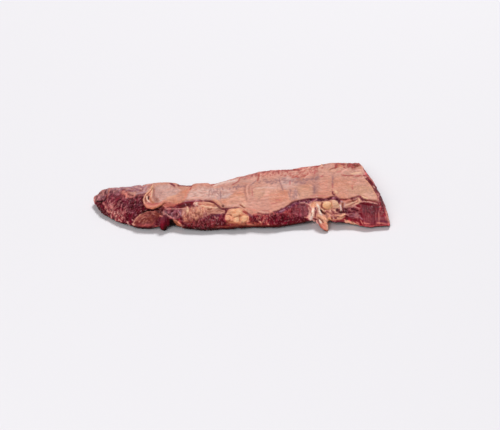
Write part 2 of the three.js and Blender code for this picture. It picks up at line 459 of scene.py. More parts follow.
@dataclass(frozen=True)
class Flecks:
    """Short strands scattered over an area of the near side, all much the same way."""

    ink: Ink
    outline: str
    count: int
    slant: float
    length: float = 2.5
    width: float = 0.45
    height: float = 0.15
    strength: float = 0.6

    SLANT_SPREAD = 14.0
    LENGTH_SPREAD = (0.6, 1.4)
    BEND_SPREAD = (-0.3, 0.3)

    def cover(self, places: np.ndarray, points: np.ndarray, seed: int) -> np.ndarray:
        """How much the strands cover each point, from 0 to 1.

        Args:
            places: the points in the plane of the outline.
            points: the points in millimetres.
            seed: picks where the strands lie.

        Returns:
            One share for each point.
        """
        corners = corners_of(self.outline)
        low, high = corners.min(0), corners.max(0)
        near = close_to(places, corners, self.length)
        close, solid = places[near], points[near]
        best = np.zeros(len(close))
        rng = np.random.default_rng(seed)
        for middle in low + (high - low) * rng.random((self.count, 2)):
            way = math.radians(rng.normal(self.slant, self.SLANT_SPREAD))
            half = 0.5 * self.length * rng.uniform(*self.LENGTH_SPREAD)
            half = half * np.array([math.cos(way), math.sin(way)])
            bend = rng.uniform(*self.BEND_SPREAD) * np.array([-half[1], half[0]])
            if inside_distance(middle[None], corners)[0] > 0.0:
                line = np.array([middle - half, middle + bend, middle + half])
                best = np.maximum(best, Strand(line, self.width).cover(close, solid, seed))
        share = np.zeros(len(points))
        share[near] = best
        return share


# The silverskin's outline from above, from the top of its curl along the near edge to the cut
SHEET_ABOVE = (
    "58,-3 51,-18 49,-36 56,-41 68,-38 82,-33 95,-30 108,-33 120,-42 135,-41 149,-50 163,-53 "
    "176,-47 190,-33 205,-29 224,-29 238,-31 249,-27 263,-35 263,-27 258,2 254,22 254,50 250,90 "
    "150,90 84,60 72,40 77,28 66,19 70,9 60,3"
)

# The same outline as the camera sees it
SHEET_NEAR = (
    "153,186.5 149.5,189.5 146.5,192.5 144.6,196 143.6,200 144.5,204 147.5,207.3 152,208.3 157,207 "
    "161,204.2 164,202 168,200.5 176,200.6 183,201.3 190,200.2 197,199.8 204,200.2 210,200.6 "
    "214,202 218,205.5 221,208 225,208 232,207.8 239,207.3 243,208.6 246,211.6 250,214.6 254,215.8 "
    "258.6,215.2 262,214.2 266,214.8 269.4,214 273,212.6 279,210.8 284,208.6 288,205.5 292,202 "
    "296,200.6 302,199.9 308,198.6 316,198.4 324,198.9 330,197.6 334,196 338,198.4 344,199.3 "
    "350,198 356,196.2 361,195.8 365,198.8 371,200.2 377.5,200.5"
)
SHEET_FRONT = (
    SHEET_NEAR + " "
    "376.5,196 374,191.5 371.5,187.2 368,182.8 364.8,178.5 363,174 363,169 361.5,163 361,150 "
    "150,150 151,178 152.5,183"
)

# Areas of the nose. In every table the marks stand in the order in which they are painted
HEAD_REGIONS = (
    Region(Ink.DUSK, "-9,24 -4,2 8,0 24,2 44,-4 60,-2 62,20 10,40", 6, 0.9, 3, None, Seen.ABOVE),
    Region(Ink.MAUVE, "86,190 100,184 113,182 112,190 106,194 105,198 103,200 98,201.3 94,201 "
        "87,201", 2.5),
    Region(Ink.PINK, "86,192 94,190 97,195 98,200.5 90,204", 2.5),
    Region(Ink.DUSK, "97,188 104,184 118,181 120,190 112,191 105,196 98,197", 3, 0.6, 2),
    Region(Ink.LILAC, "108,182 122,182 124,191 118,196 109,197 106,193", 3, 0.4),
    Region(Ink.MAROON, "110.5,192.5 113.5,193 116,196 114.5,198.5 111.5,198 109.5,196", 1.8, 0.6),
    Region(Ink.DUSK, "118,181 152,176 153,186 148,192 143,196 134,195 124,192 117,190", 3),
    Region(Ink.TAN, "122,184 134,180 150,178 153,186 148,192 142,195 132,193.6 "
        "125,191", 3, 0.75, 2.5, Tissue.SHEET),
    Region(Ink.SALMON, "121,192 126,192 131,195.5 136,195 134,198 126,199 121,197", 2, 0.6),
    Region(Ink.BRICK, "103,208 108,206 114,206 118,208 122,210 127,212 127,216 126,222 118,221 "
        "108,214", 3, 0.4),
    Region(Ink.MAUVE, "103,200 108,197 114,199 116,203 113,208 106,206", 3, 0.35),
    Region(Ink.MAROON, "105,200 118,198 124,206 126,213 114,211 107,208", 3, 0.45, 1.5),
    Region(Ink.WINE, "118,204 130,207 143,210 152,209 160,206 164,212 158,222 146,226 134,224 "
        "126,214", 5, 0.8),
    Region(Ink.PINK, "93,194 99,191 103,192 104,196 100,199.6 94,200", 2.5, 0.35, 1.5),
    Region(Ink.WINE, "117,202 124,199.5 130,198.5 138,197 143,196 144,204 147,208 158,208 150,211 "
        "142,212.5 137,214.5 133,211 128,208 121,206", 2.5, 0.95),
    Region(Ink.WINE, "126,213 131,212 135,216 134,222 132,224 127,222 125,218", 2, 0.85),
    Region(Ink.WINE, "96,203 101,206 106,212 112,219 122,224 134,229 134,224 122,220.6 112,217 "
        "106,212 100.4,206"),
    Region(Ink.WINE, "96,201.5 99,202 101.5,203 101,206 98.5,205", 1.2),
    Region(Ink.BLUSH, "137,187 148,183 152,186 146,191 139,192", 2.5, 0.4, 1.5),
    Region(Ink.ROSE, "101.6,203 106,202 108,209 105.6,211", 1.6, 0.45),
)  # fmt: skip

# Areas of the silverskin: its tones, its curl and the soft rises along its far rim, with painted
# shade beside the curl
SHEET_REGIONS = (
    Region(Ink.TAN, SHEET_ABOVE, 2, 1, 2, Tissue.SHEET, Seen.ABOVE),
    Region(Ink.TAN, SHEET_FRONT, 0.9, 1, 0.4, Tissue.SHEET),
    Region(Ink.WINE, "71.8,0 75,0 75.6,2 73.6,3.4 71.6,2.4", 1, 0.85, 1, None, Seen.ABOVE),
    Region(Ink.WINE, "80,1.4 84,1.6 88,2.4 92,2.2 92.4,4.4 88,4.8 84,4 "
        "80,3.4", 1, 0.85, 1.6, None, Seen.ABOVE),
    Region(Ink.PINK, "96,194 101,188 112,184 128,182 142,180 142,190 128,193 "
        "112,193", 1, 0, bulge=1.7),
    Region(Ink.PINK, "142,190 142,180 162,179 174,181 180,186 168,189 152,190", 1, 0, bulge=1.5),
    Region(Ink.BLUSH, "191,185 196,181 204,181 209,184 213,187.6 203,188.6 "
        "196,188", 1.5, 0.5, bulge=1.5),
    Region(Ink.SALMON, "153.4,186 150.4,189.6 147.6,192.6 144.6,195.6 143.2,199 143.6,203.4 "
        "147,207.4 152,208.4 158,206.8 163,203.4 160,202.4 156,204.4 153,203 151.6,199 "
        "152.4,193", 0.8, 0.9, 0.2),
    Region(Ink.PEACH, "153.4,186 150.4,189.6 147.6,192.6 144.6,195.6 144,199 148,198 "
        "151.4,192", 1.2, 0.6, 0.5),
    # painted shade in the hollow on the curl's right
    Region(Ink.BROWN, "153,189 155,190 156.5,195 159,200 158.4,203.4 154.6,202.4 "
        "152.6,197", 1.6, 0.6, 0.6),
    Region(Ink.BRICK, "145,203 150,201 156,203 162,202 160,206 152,208.6 "
        "146,206.4", 1.6, 0.35, 0.6),
    Region(Ink.GREY, "155,189 160,187 169,186 176,187.5 181,191 176,195.5 170,197.5 164,199.5 "
        "158,202.5 155,201 153.5,194", 3, 0.95, 1.5),
    # painted shade next to the curl's inner side
    Region(Ink.DUSK, "154.4,190 162,190.6 166,195 161,200 156,201", 3, 0.35),
    Region(Ink.SALMON, "150,178 190,178 190,184 176,185.5 160,186.5 153,187", 3, 0.45),
    Region(Ink.ORANGE, "176,195.5 181,192.5 187,190 192,184 191.5,190 187,195 184,201.5 176,201 "
        "166,201.5 167,199 172,198", 2.5, 0.75, 1.5),
    Region(Ink.BLUE_GREY, "187,199.5 189,193 192,188.5 200,187.5 210,188 221,188 229,188.5 "
        "236,188.5 233,194 228,198 218,200.5 205,200 195,199.6", 3, 0.95, 1.5),
    Region(Ink.SILVER, "188,199 190,193 194,189 206,188.4 222,189 228,192 224,197 214,198 "
        "200,198.6", 2.5, 0.5, 2),
    Region(Ink.PINK, "188,187 195,183 208,184 216,181 224,177 240,172 241,179 233,184 222,187 "
        "208,187.5 195,187.5", 2.5, 0.7),
    Region(Ink.BLUSH, "222,184 230,181.5 238,179.5 238,182.5 230,185 225,186", 1.6, 0.7),
    Region(Ink.ORANGE, "222,201.5 228,198.5 234,194 240,192 244,195 246,200 246,204 240,204.6 "
        "230,205 224,204", 3, 0.55),
    Region(Ink.OLIVE, "253,190 259,187 266,188 267,194 263,199 255,199", 3, 0.6),
    Region(Ink.PEACH, "224,200 230,196 238,193 243,196 244,203 238,205 228,205", 3, 0.4),
    Region(Ink.PEACH, "252,190 266,189 278,190 284,194 282,199 270,202 256,200", 5, 0.3, 2),
    Region(Ink.BLUSH, "262,183 278,184 280,189 264,188", 3, 0.35, 2),
    Region(Ink.GREY, "214,184 240,178 262,176 290,176 310,178 312,186 296,190 262,190 236,192 "
        "218,196", 6, 0.35, 3),
    Region(Ink.SALMON, "238,200 250,197 266,199 284,199 282,206 270,211 254,212 "
        "244,208", 5, 0.3, 2),
    Region(Ink.BLUE_GREY, "214,185 230,181 252,182 252,189 236,190 218,192", 5, 0.35, 2),
    Region(Ink.BLUSH, "249,176 256,174.6 257,180 251,183", 2.5, 0.5, 1.5),
    Region(Ink.BLUSH, "291,174 299,173.6 299,180 292,181", 2.5, 0.45, 1.5),
    Region(Ink.BLUSH, "264,185 276,184 277,192 265,193", 3, 0.35, 2),
    Region(Ink.PEACH, "238,196 246,194 248,206 246,212 240,208", 2.5, 0.45),
    Region(Ink.PEACH, "360,188 371,188 376,196 376,200 366,199 361,196", 3, 0.45),
    Region(Ink.PEACH, "318,166 334,164 346,167 340,173 324,172", 3, 0.45, 1.5),
    Region(Ink.BLUSH, "355,170 361,169 362,174.6 356,175", 1.6, 0.6, 0.6),
    Region(Ink.ORANGE, "268,193 280,190 288,191 287,199 278,203 268,200", 4, 0.2),
    Region(Ink.GREY, "283,178 289,176 293,180 290,187 287,192 284,189 281,183", 2, 0.75),
    Region(Ink.SLATE, "292,181 300,178 308,176 319,175 320,181 316,184 304,185 294,186", 3, 0.3),
    Region(Ink.OLIVE, "297,187 303,185 312,185.5 313,196 303,198 298,198", 2.5, 0.5),
    Region(Ink.GREY, "288,191 297,190 299,199 291,200.5 288,199", 2, 0.6),
    Region(Ink.SLATE, "312,184 318,184 318,194 313,195", 2.5, 0.4),
    Region(Ink.DUSK, "311,172 320,172 320,190 312,191", 3, 0.35, 1.5),
    Region(Ink.DUSK, "242,184 256,183 258,190 244,191", 3, 0.25, 1.5),
    Region(Ink.SALMON, "320,183 327,181 329,190 322,192", 3, 0.35),
    Region(Ink.ROSE, "240,178 256,172 268,166 300,160 322,158 321,166.5 305,170.5 290,172 275,173 "
        "262,175 250,179", 3, 0.6, 2.5, Tissue.FLESH),
    Region(Ink.SALMON, "262,174 285,173 305,171 316,169 318,176 308,178 298,180 290,177 "
        "270,178", 4, 0.45, 2.5),
    Region(Ink.PINK, "322,160 336,158 335,168 322,169", 3, 0.6),
    Region(Ink.BRICK, "334.5,160 346,158 345,167 341,166 335,168.5", 2.4, 0.65, 2.5, Tissue.FLESH),
    Region(Ink.BRICK, "347,158 361,157 361,165 356,168 352,169 "
        "347.5,168", 2.4, 0.8, 2.5, Tissue.FLESH),
    Region(Ink.OLIVE, "345,186 372,186 376,196 362,196 350,194", 5, 0.5),
)  # fmt: skip

# Areas of the front flank and the cut: leaf, drop, films, nodules, fat, strands and meat, with
# painted shade in gaps, under lumps and along the lower rim
FLANK_REGIONS = (
    Region(Ink.RUSSET, "132,225 135.5,219.5 139,215.5 144,212.3 150,211.3 157,212 160,214 158,219 "
        "154,225 150,230 134,230", 1, 0.95, 0.3, Tissue.LUMP, bulge=0.6),
    Region(Ink.BROWN, "138,220 143,216.3 148,215 152,217 152,221 148,223.5 141,223.5", 2.5),
    Region(Ink.WINE, "134,222 142,213 152,211 160,214 156,224 140,227", 3, 0.4),
    Region(Ink.WINE, "133,222.6 139,216 146,212.6 149,217 141,222.6", 2.5, 0.35, 0.6),
    Region(Ink.MAUVE, "136,225 144,223 152,221.6 156,219 154,226 150,230 136,230", 2.5, 0.3),
    Region(Ink.BROWN, "153,210 160,207 164,206 164,213 160,217 156,218 154,214", 2, 0.6),
    Region(Ink.WINE, "160,206.5 164,206 165,211 161,212", 1.4, 0.8),
    Region(Ink.MAROON, "161,205.4 165.6,203 168.4,206.4 165,209.6", 1.6, 0.55, 0.6),
    Region(Ink.ORANGE, "164,202 170,200.2 178,200.8 184,201.5 180,204.5 175,206.8 168,208 "
        "163,206.5", 1.6, 0.85, 0.6),
    Region(Ink.GARNET, "173,207 177,204.5 182,202.5 188,201 194,201.5 193,205 189,208 "
        "180,208.3", 1.2, 1, 0.5, Tissue.LUMP),
    # painted shade: the darkest spots in the band under the sheet's edge
    Region(Ink.BLACK, "179,205.4 190,202.8 191.6,206 182,208", 1.6, 0.4, 0.6),
    Region(Ink.BRICK, "162,204 166,201.6 172,202.6 178,204 174,207.4 166,208.4", 2, 0.65),
    Region(Ink.WINE, "180,213 184,214 188,217 190,224 184,227 180,222", 2.5, 0.6, 1.5),
    Region(Ink.MAUVE, "162,212 166,209.6 176,209.4 186,209 184,213 181,217 176,219 170,217.5 "
        "165,215.5", 1.6, 0.75),
    Region(Ink.WINE, "159.6,219 161.6,215.6 165,214.8 168.6,217.6 169.6,224 168,233 "
        "159.2,233", 0.9, 1, 0.2, Tissue.LUMP, bulge=1.2),
    Region(Ink.MAUVE, "160.6,218.6 162.4,216.8 164.6,217.6 164.4,221.4 162,223.4 "
        "160.2,222.6", 1.4, 0.4, 0.4),
    # painted shade in the hollow beside the drop
    Region(Ink.BLACK, "169,219 173,219 176,221.5 179.6,225 181,232 "
        "169.4,232", 1.2, 1, 0.4, Tissue.LUMP),
    Region(Ink.OCHRE, "173,219 177,220 180,223 183,227 188,229 180,231 177,226 "
        "174,222", 1.2, 0.8, 0.6),
    Region(Ink.TAN, "182,208 187,206.5 190,210 191,206.5 196,206 204,208 209,210 205,213 198,217 "
        "196,222 190,222 186,227 183,222 181,216", 1.8, 0.8, 1, Tissue.SHEET),
    Region(Ink.TAN, "198,202 208,201.2 214,202.5 218,206 225,209 225,213.5 219,214 211,213.5 "
        "205,212 198,208", 1.2, 0.9, 0.6, Tissue.SHEET),
    Region(Ink.OCHRE, "209,209 214,209.6 220,210 226,212 225,215 216,215 210,214.4", 2, 0.3, 1.5),
    Region(Ink.WINE, "205,219 209,216 214,214.6 225,213.2 226,216 225,222 220,224.5 208,225 "
        "203,221", 1.6, 0.85, 1, Tissue.FLESH),
    Region(Ink.TAN, "196,207 206,208 212,210 213,213.4 208,215.6 203,218.6 "
        "198,218", 1.6, 0.8, 1, Tissue.SHEET),
    Region(Ink.WINE, "182,222 196,220 204,221 212,223.5 226,222.5 227,225 205,231 186,231"),
    # painted shade on the lower part of the pale fan
    Region(Ink.BROWN, "183,214 190,216 198,218 198,223 188,224.6 182,221", 3, 0.5, 1.5),
    # painted shade along the low flank, where it meets the floor
    Region(Ink.BLACK, "186,225 200,222 214,222.6 226,223 228,227 205,231 186,231", 3, 0.45, 1.5),
    Region(Ink.WINE, "199,218.6 206,216 216,217 215,225 201,225.6", 2.5, 0.5, 1.5),
    Region(Ink.BROWN, "189,213 200,212 201,219 192,220.6", 2.5, 0.35, 1.5),
    Region(Ink.WINE, "177,212.6 183,213.6 185,220 180,220", 1.8, 0.4, 1.5),
    Region(Ink.BROWN, "186,222 200,220 216,221 222,226 206,229 190,228", 3, 0.3, 1.5),
    Region(Ink.PEACH, "225.5,213 229,208.5 236,207.6 243,209 247,213 251,216 252,221.5 244,223.4 "
        "236,223.4 229,223 225,219", 1.4, 0.9, 0.8, Tissue.LUMP),
    Region(Ink.BUTTER, "230.4,211 233.6,208.8 238.8,208.8 242.4,211.4 242,214.6 238.4,216.4 "
        "233,216.8 230,214.6", 1.2, 0.4, 0.3, Tissue.LUMP, bulge=1),
    Region(Ink.BUTTER, "233.4,219.6 234.6,217.6 237.6,217 240,218.6 239.6,221.4 236.4,222 "
        "233.8,221.4", 0.8, 0.7, 0.2, Tissue.LUMP, bulge=1),
    Region(Ink.BUTTER, "240.6,218.4 242,215.6 245.4,214.8 248.4,216.8 248.4,220.4 245,222 "
        "241.4,221.4", 0.8, 0.6, 0.2, Tissue.LUMP, bulge=1),
    Region(Ink.PEACH, "247.4,216.6 249.6,216.4 250.6,219 "
        "248.6,220.8", 0.7, 0.8, 0.2, Tissue.LUMP, bulge=0.5),
    Region(Ink.PEACH, "225.8,216.8 228.6,214.8 232,216.2 232.4,219 229.6,221 "
        "226.2,220.4", 0.8, 0.7, 0.2, Tissue.LUMP, bulge=0.8),
    # painted shade: darker band along the nodules' lower side
    Region(Ink.OCHRE, "226,222.4 232,221.8 240,222.6 247,222.4 252.6,221 253,224.4 240,224.6 "
        "226,224.2", 1, 0.6, 0.8, Tissue.LUMP),
    Region(Ink.BLUSH, "193,204 195,201.3 198,201.8 198.5,205.5 "
        "195,206.5", 0.9, 0.9, 0.3, Tissue.FAT, bulge=0.6),
    Region(Ink.RED, "249,215 256,213.8 262,214.6 269,214.6 274,212 281,210.5 288,206.5 294,202.5 "
        "302,201.5 310,203 312,208 311,219 302,222 286,224 268,225 254,224 "
        "249,220", 1.4, 0.85, 0.8),
    Region(Ink.WINE, "269,214 278,213.5 284,214.5 285,221 278,224 269,223", 3, 0.85, 1.5),
    Region(Ink.WINE, "254,217 263,217 263,222.6 255,222.6", 2, 0.6, 1.5),
    Region(Ink.SALMON, "261,212.4 272,211.8 283,211.4 287,213 276,215.2 263,215.2", 1.6, 0.5, 1.5),
    Region(Ink.WINE, "286,216 296,215 306,216 314,217 313,222 300,223 286,224.6", 2, 0.85),
    Region(Ink.MAUVE, "291,207 300,203.5 307,204 310,208 309,216 302,217.5 "
        "294,214", 3, 0.5, 1, Tissue.LUMP),
    Region(Ink.BROWN, "222,231 226,226.5 240,223.8 256,224.6 268,225 285,224.4 300,221.6 311,220 "
        "314,222 302,228 285,231", 1.4, 0.85, 0.6, Tissue.LUMP),
    Region(Ink.OCHRE, "214,229 226,226.4 240,224.4 254,225 268,225.6 285,225 285,226.6 268,227 "
        "250,227 226,228.4", 0.9, 0.35, 0.6, Tissue.LUMP),
    Region(Ink.PLUM, "274,213 280,210 287,206 291,203 296,200.8 306,199 316,198.6 327,199 336,196 "
        "341,200 339,203.5 330,202 321,201.5 312,204 303,203 296,205 289,209 "
        "281,213.5", 1.1, 0.85, 0.6),
    Region(Ink.TAN, "309,204 314,201.5 321,201.3 324,200.6 329,199.8 335,199.5 340,203 341,208 "
        "345,213 347,216 340,220 330,220.8 327.5,222 329.5,234 323,232 317,225 313,222 309,219.5 "
        "308,216 311,209", 1.1, 0.95, 0.5, Tissue.LUMP),
    Region(Ink.DUSK, "325,210 334,209 342,212 342,219 331,220.4 326,216", 1.4, 0.6, 0.6),
    Region(Ink.PEACH, "309.5,205 312,202.5 316,201.5 320.5,201.4 320.8,204 318,205 315.5,207.4 "
        "311,207.6", 1, 0.8, 0.4),
    # painted shade in the gap under the left fat ball
    Region(Ink.BROWN, "320,209.4 324,209.8 326.4,212.4 324,214.6 321,212.8", 1, 0.75, 0.4),
    Region(Ink.BLUSH, "308,207 313,206.6 313.6,214 312,219 308.6,218.6", 1.6, 0.75, 0.6),
    Region(Ink.CREAM, "330.4,203 331.5,200.4 334,199.7 336.6,201.2 338.8,203.6 339.9,206.2 "
        "338.2,207.9 335,208.2 332.3,208.2 330.8,206", 0.7, 0.65, 0.2, bulge=1),
    Region(Ink.BUTTER, "322.4,204.8 323.3,202.6 326,201.5 329.2,201.8 331.2,203.4 332,206.6 "
        "330.4,208.7 327.5,209.5 324.3,208.2 322.8,206.8", 0.7, 1, 0.2, bulge=1.1),
    Region(Ink.SALMON, "325,209.6 328,210 331,209 332,212 330.5,214 327.5,213.6 "
        "325.4,212.4", 0.8, 0.5, 0.3, bulge=0.6),
    Region(Ink.SALMON, "332.6,210.5 335,209.6 336.4,212 339,215 338.8,217.6 334,217.4 331,215 "
        "331,212.6", 0.8, 0.45, 0.3, bulge=0.7),
    Region(Ink.PEACH, "338,216 341,215.2 345,213.3 346.6,213.8 346.2,216 342.5,218.4 338.6,219.4 "
        "336,218.4", 0.8, 0.85, 0.3, bulge=0.6),
    Region(Ink.BUTTER, "328,217.6 330.4,217.2 331,219.4 329.8,220.6 328,219.8", 0.6, 0.9, 0.2),
    Region(Ink.PEACH, "317.6,214.6 321,215.6 324.6,216.8 326.8,219.4 327.4,223 325.4,224.4 "
        "323.8,221.8 320.6,218.6 317.2,217", 0.7, 0.9, 0.3, bulge=0.8),
    Region(Ink.BLUSH, "312.6,218.6 316,219.2 317.8,221.4 318.6,224 315.6,225 "
        "313,223", 0.8, 0.9, 0.3, bulge=1.3),
    Region(Ink.MAROON, "318.6,223.6 320.6,223.4 323.4,227.6 325.4,231 321,230 "
        "318,226", 0.9, 0.7, 0.3),
    Region(Ink.ORANGE, "321,223.6 324,222.6 327.4,223.4 328.2,231.6 327,232.4 323.5,229.8 "
        "320.4,226.8 319.2,224.6", 0.7, 0.7, 0.2, bulge=1),
    # painted shade in the gaps beneath the right fat ball
    Region(Ink.WINE, "335.8,208.6 338.4,208.3 338.8,210.4 337,212 335.8,211", 0.6, 1, 0.2),
    Region(Ink.WINE, "337.4,209.6 340,208.4 340.6,212.4 338.6,213.4", 0.8, 0.7, 0.3),
    Region(Ink.BROWN, "342,202.4 344.2,202.2 344,206 343,209.6 341.9,209.6", 0.8, 0.7, 0.3),
    Region(Ink.TAN, "341,200.5 352,199.5 359,197 362,201 359,204 354,206.5 348,209 343,208 "
        "340,205", 1.2, 0.9, 0.6, Tissue.SHEET),
    Region(Ink.GARNET, "356,205 362,203 370,203.8 379,205 385,213 390,222 384,228 370,229 360,225 "
        "350,219.5 344,216 346,213 352,211 356,209", 1.4, 0.9, 0.8, Tissue.LUMP),
    Region(Ink.MAUVE, "346,213 352,212 360,214 361,219 354,217.5 347,216", 2.4, 0.5, 1.5),
    Region(Ink.LILAC, "346,212.6 356,211 361,214.6 357,217.4 348,217", 1.8, 0.22, 1.2),
    Region(Ink.WINE, "361,204 372,205 379,206.4 380,213 370,214 361,212", 3, 0.7, 1.5),
    Region(Ink.MAUVE, "362,219 374,217 386,217 390,223 376,225 364,224", 2.5, 0.4, 1.5),
    Region(Ink.ROSE, "344,219 352,222.4 358,224.6 372,225.4 384,224.6 391,222 391,230 "
        "346,230", 1.2, 0.75, 0.8),
    Region(Ink.PEACH, "343,218.8 352,222 359,224.6 359,229 348,227", 1.2, 0.9, 0.6, Tissue.FAT),
    Region(Ink.ROSE, "362.5,160 366,172 369,177 376,184 382,192 387,203 389,212 394,223 388,226 "
        "384.5,216 382.5,205 379,197 374,189 369,183 364.5,178 "
        "363,172", 1, 0.85, 0.4, Tissue.FLESH),
    # painted shade: dark band along the whole lower rim, where the contact shadow falls
    Region(Ink.BLACK, "97,205 104,213 112,219.4 124,223.6 136,225.8 150,226 158,226.6 170,225 "
        "180,226.4 190,227.2 205,227.4 215,227 240,225.8 270,225.4 290,223.2 305,220.6 312,219.4 "
        "314,224 290,230 240,233 200,234 150,233 120,230 96,214", 3, 0.7, 0.8),
    Region(Ink.GARNET, "364.8,178 367.4,176.8 373,182.6 381,193 384.4,205 386,217 380,213 379,204 "
        "377,198 373,190 368,183", 0.9, 1, 0.3, Tissue.FLESH),
    Region(Ink.BLUSH, "112,187 120,184 121.4,192 113,193.4", 3, 0.4, 1.5),
    Region(Ink.BLUSH, "134,185 144,182 151,182 149,190 143,192 135,192", 3, 0.5, 1.5),
    Region(Ink.MAUVE, "94,192 101,192 101.6,199 95,200.4", 2.5, 0.5),
    # painted shade next to the curl
    Region(Ink.BROWN, "155,197.5 158.6,198.4 160,201.4 157,202.4 154.6,200.6", 1.4, 0.4, 0.5),
)  # fmt: skip

# Areas of the sheet, as the camera sees them, over which fibres and flecks are scattered
SHEET_MIDDLE = (
    "156,189 186,187 216,186 240,180 262,176 320,168 360,168 372,190 376,199 330,196 300,198 "
    "284,206 262,212 246,209 236,206 214,199 186,199 160,201"
)
FAR_BAND = (
    "240,178 256,171.5 270,169 290,168 318,162 320,172 300,178 280,176 262,177"
)

# Grain, creases and seams of the nose, and the leaf's rim, with painted shade in some creases and
# seams
HEAD_STROKES = (
    # painted shade: dark lines in the crease and along the edge at the nose's near side
    Stroke(Ink.BLACK, "96,201 98.5,201.5 101,201.2 103,200.6 104.5,200 105,199 "
        "106,198", 0.8, -0.8, 1),
    Stroke(Ink.BLACK, "97,203 99.4,207 102.4,211 106.4,214.8", 1.3, 0, 0.5),
    Stroke(Ink.OCHRE, "110,190.5 109,192.5 108.3,194.5 107.5,196.5 107,198", 0.5, 0.3, 0.6),
    Stroke(Ink.LILAC, "118,188.6 124,189.3 130,189.6 136,188.8", 0.59, 0.2, 0.54),
    Stroke(Ink.MAROON, "120,190.5 126,191.3 131,191.5 137,190.6 142,190.4", 0.6, -0.3, 0.7),
    Stroke(Ink.MAROON, "128,188.4 133,188 139,187.3", 0.5, -0.2, 0.6),
    Stroke(Ink.PINK, "138,189 144,187.4 150,186.6", 0.94, 0.2, 0.63),
    Stroke(Ink.LILAC, "136,193.6 141,192.8 146,192", 0.77, 0.2, 0.72),
    Stroke(Ink.MAROON, "137,195.4 142,194.4 146,193.4", 0.6, -0.3, 0.7),
    Stroke(Ink.SALMON, "122,192.5 125,193.5 127.5,196 130,197.2 133,196.8 "
        "135,195", 0.85, 0.3, 0.77),
    Stroke(Ink.SALMON, "124,194 126.5,197.5 125,198.2", 0.51, 0.2, 0.63),
    Stroke(Ink.MAROON, "120,194.5 122.5,196 125,197", 1.2, -0.1, 0.7),
    Stroke(Ink.ROSE, "132.6,198 135,199.6 138,201", 0.59, 0.2, 0.63),
    Stroke(Ink.SALMON, "104.5,203.4 105.5,205.6 105.8,208.5", 0.77, 0.35, 0.77),
    Stroke(Ink.PINK, "102.6,202.6 103.8,204.4 104.4,206", 0.42, 0.2, 0.77),
    Stroke(Ink.SALMON, "111.6,208.4 113,206.4 114.3,204.4 115.8,203", 0.68, 0.35, 0.77),
    Stroke(Ink.SALMON, "106.4,210 107.8,211.8 109.4,212.4 110.6,211", 0.68, 0.3, 0.77),
    Stroke(Ink.BLUSH, "110,214.4 111,216 111.6,218.6", 0.68, 0.3, 0.77),
    Stroke(Ink.TAN, "114.8,212.6 115.4,215.5 115.5,218.5 116.2,221", 1.19, 0.3, 0.72),
    Stroke(Ink.BLUSH, "124.2,216.8 125,219.4", 0.68, 0.3, 0.77),
    Stroke(Ink.ROSE, "121.2,216.6 122,219.8", 0.59, 0.2, 0.77),
    Stroke(Ink.RED, "119.3,217 120.2,219.5 121.8,221.6"),
    Stroke(Ink.BLUSH, "126.6,221.3 128.4,221.9", 0.68, 0.3, 0.77),
    Stroke(Ink.BLUSH, "132.4,223.8 135,224.6", 0.59, 0.3, 0.77),
    Stroke(Ink.MAUVE, "127.8,211.3 130.5,212.1 132.8,213", 0.8, 0.2),
    Stroke(Ink.SLATE, "135.3,213.6 136,216.2", 0.9, 0.1),
    Stroke(Ink.WINE, "100.6,203.6 102.6,205.8 103.8,209", 0.7, -0.2),
    Flecks(Ink.WINE, "101,203 112,199 143,198 140,212 132,223 "
        "116,219", 150, -40, 3, 0.5, -0.2, 0.7),
    Flecks(Ink.PINK, "109,203 118,199 126,206 128,212 122,217 "
        "112,212", 60, -58, 3, 0.36, 0.25, 0.7),
    Flecks(Ink.PINK, "102,202 110,200 112,208 116,216 106,211", 50, 70, 2.6, 0.38, 0.25, 0.7),
    Flecks(Ink.MAUVE, "119,199 130,197 142,199 139,212 130,213 "
        "124,208", 70, -22, 3.4, 0.36, 0.15, 0.5),
    Flecks(Ink.BLUSH, "107,209 120,213 134,221 134,226 118,222", 55, 40, 1.4, 0.45, 0.2, 0.8),
    Flecks(Ink.LILAC, "104,189 120,186 150,182 152,187 142,193 124,191", 90, -8, 5, 0.5, 0.25, 0.7),
    Flecks(Ink.MAROON, "104,189 120,186 150,182 152,187 142,194 "
        "124,192", 45, -8, 4, 0.4, -0.25, 0.4),
    Stroke(Ink.PEACH, "133.3,223.6 135.3,220.2 138,217 141,214.5 144,212.8 "
        "147.5,211.8", 0.68, 0.4, 0.77),
    Stroke(Ink.SALMON, "136,221.4 139,218.2 143,215.3 148,213.2", 0.85, 0.1, 0.54),
    Stroke(Ink.SALMON, "147,211.9 151,211.8 155,212.6", 0.68, 0.2, 0.54),
    Stroke(Ink.BRICK, "138,225 143,225.7 148,226 152,224.6 154.6,221", 0.77, 0.2, 0.63),
    Stroke(Ink.TAN, "151.6,212.8 154.4,214.8", 0.85, 0.1, 0.63),
    # painted shade: dark line in the seam under the leaf and the curl
    Stroke(Ink.BLACK, "141,213.8 144.5,211.6 148,210.2 152,209.8 156,209.2 160,207.2 "
        "163.4,204.4", 0.8, -0.7, 0.95),
)  # fmt: skip
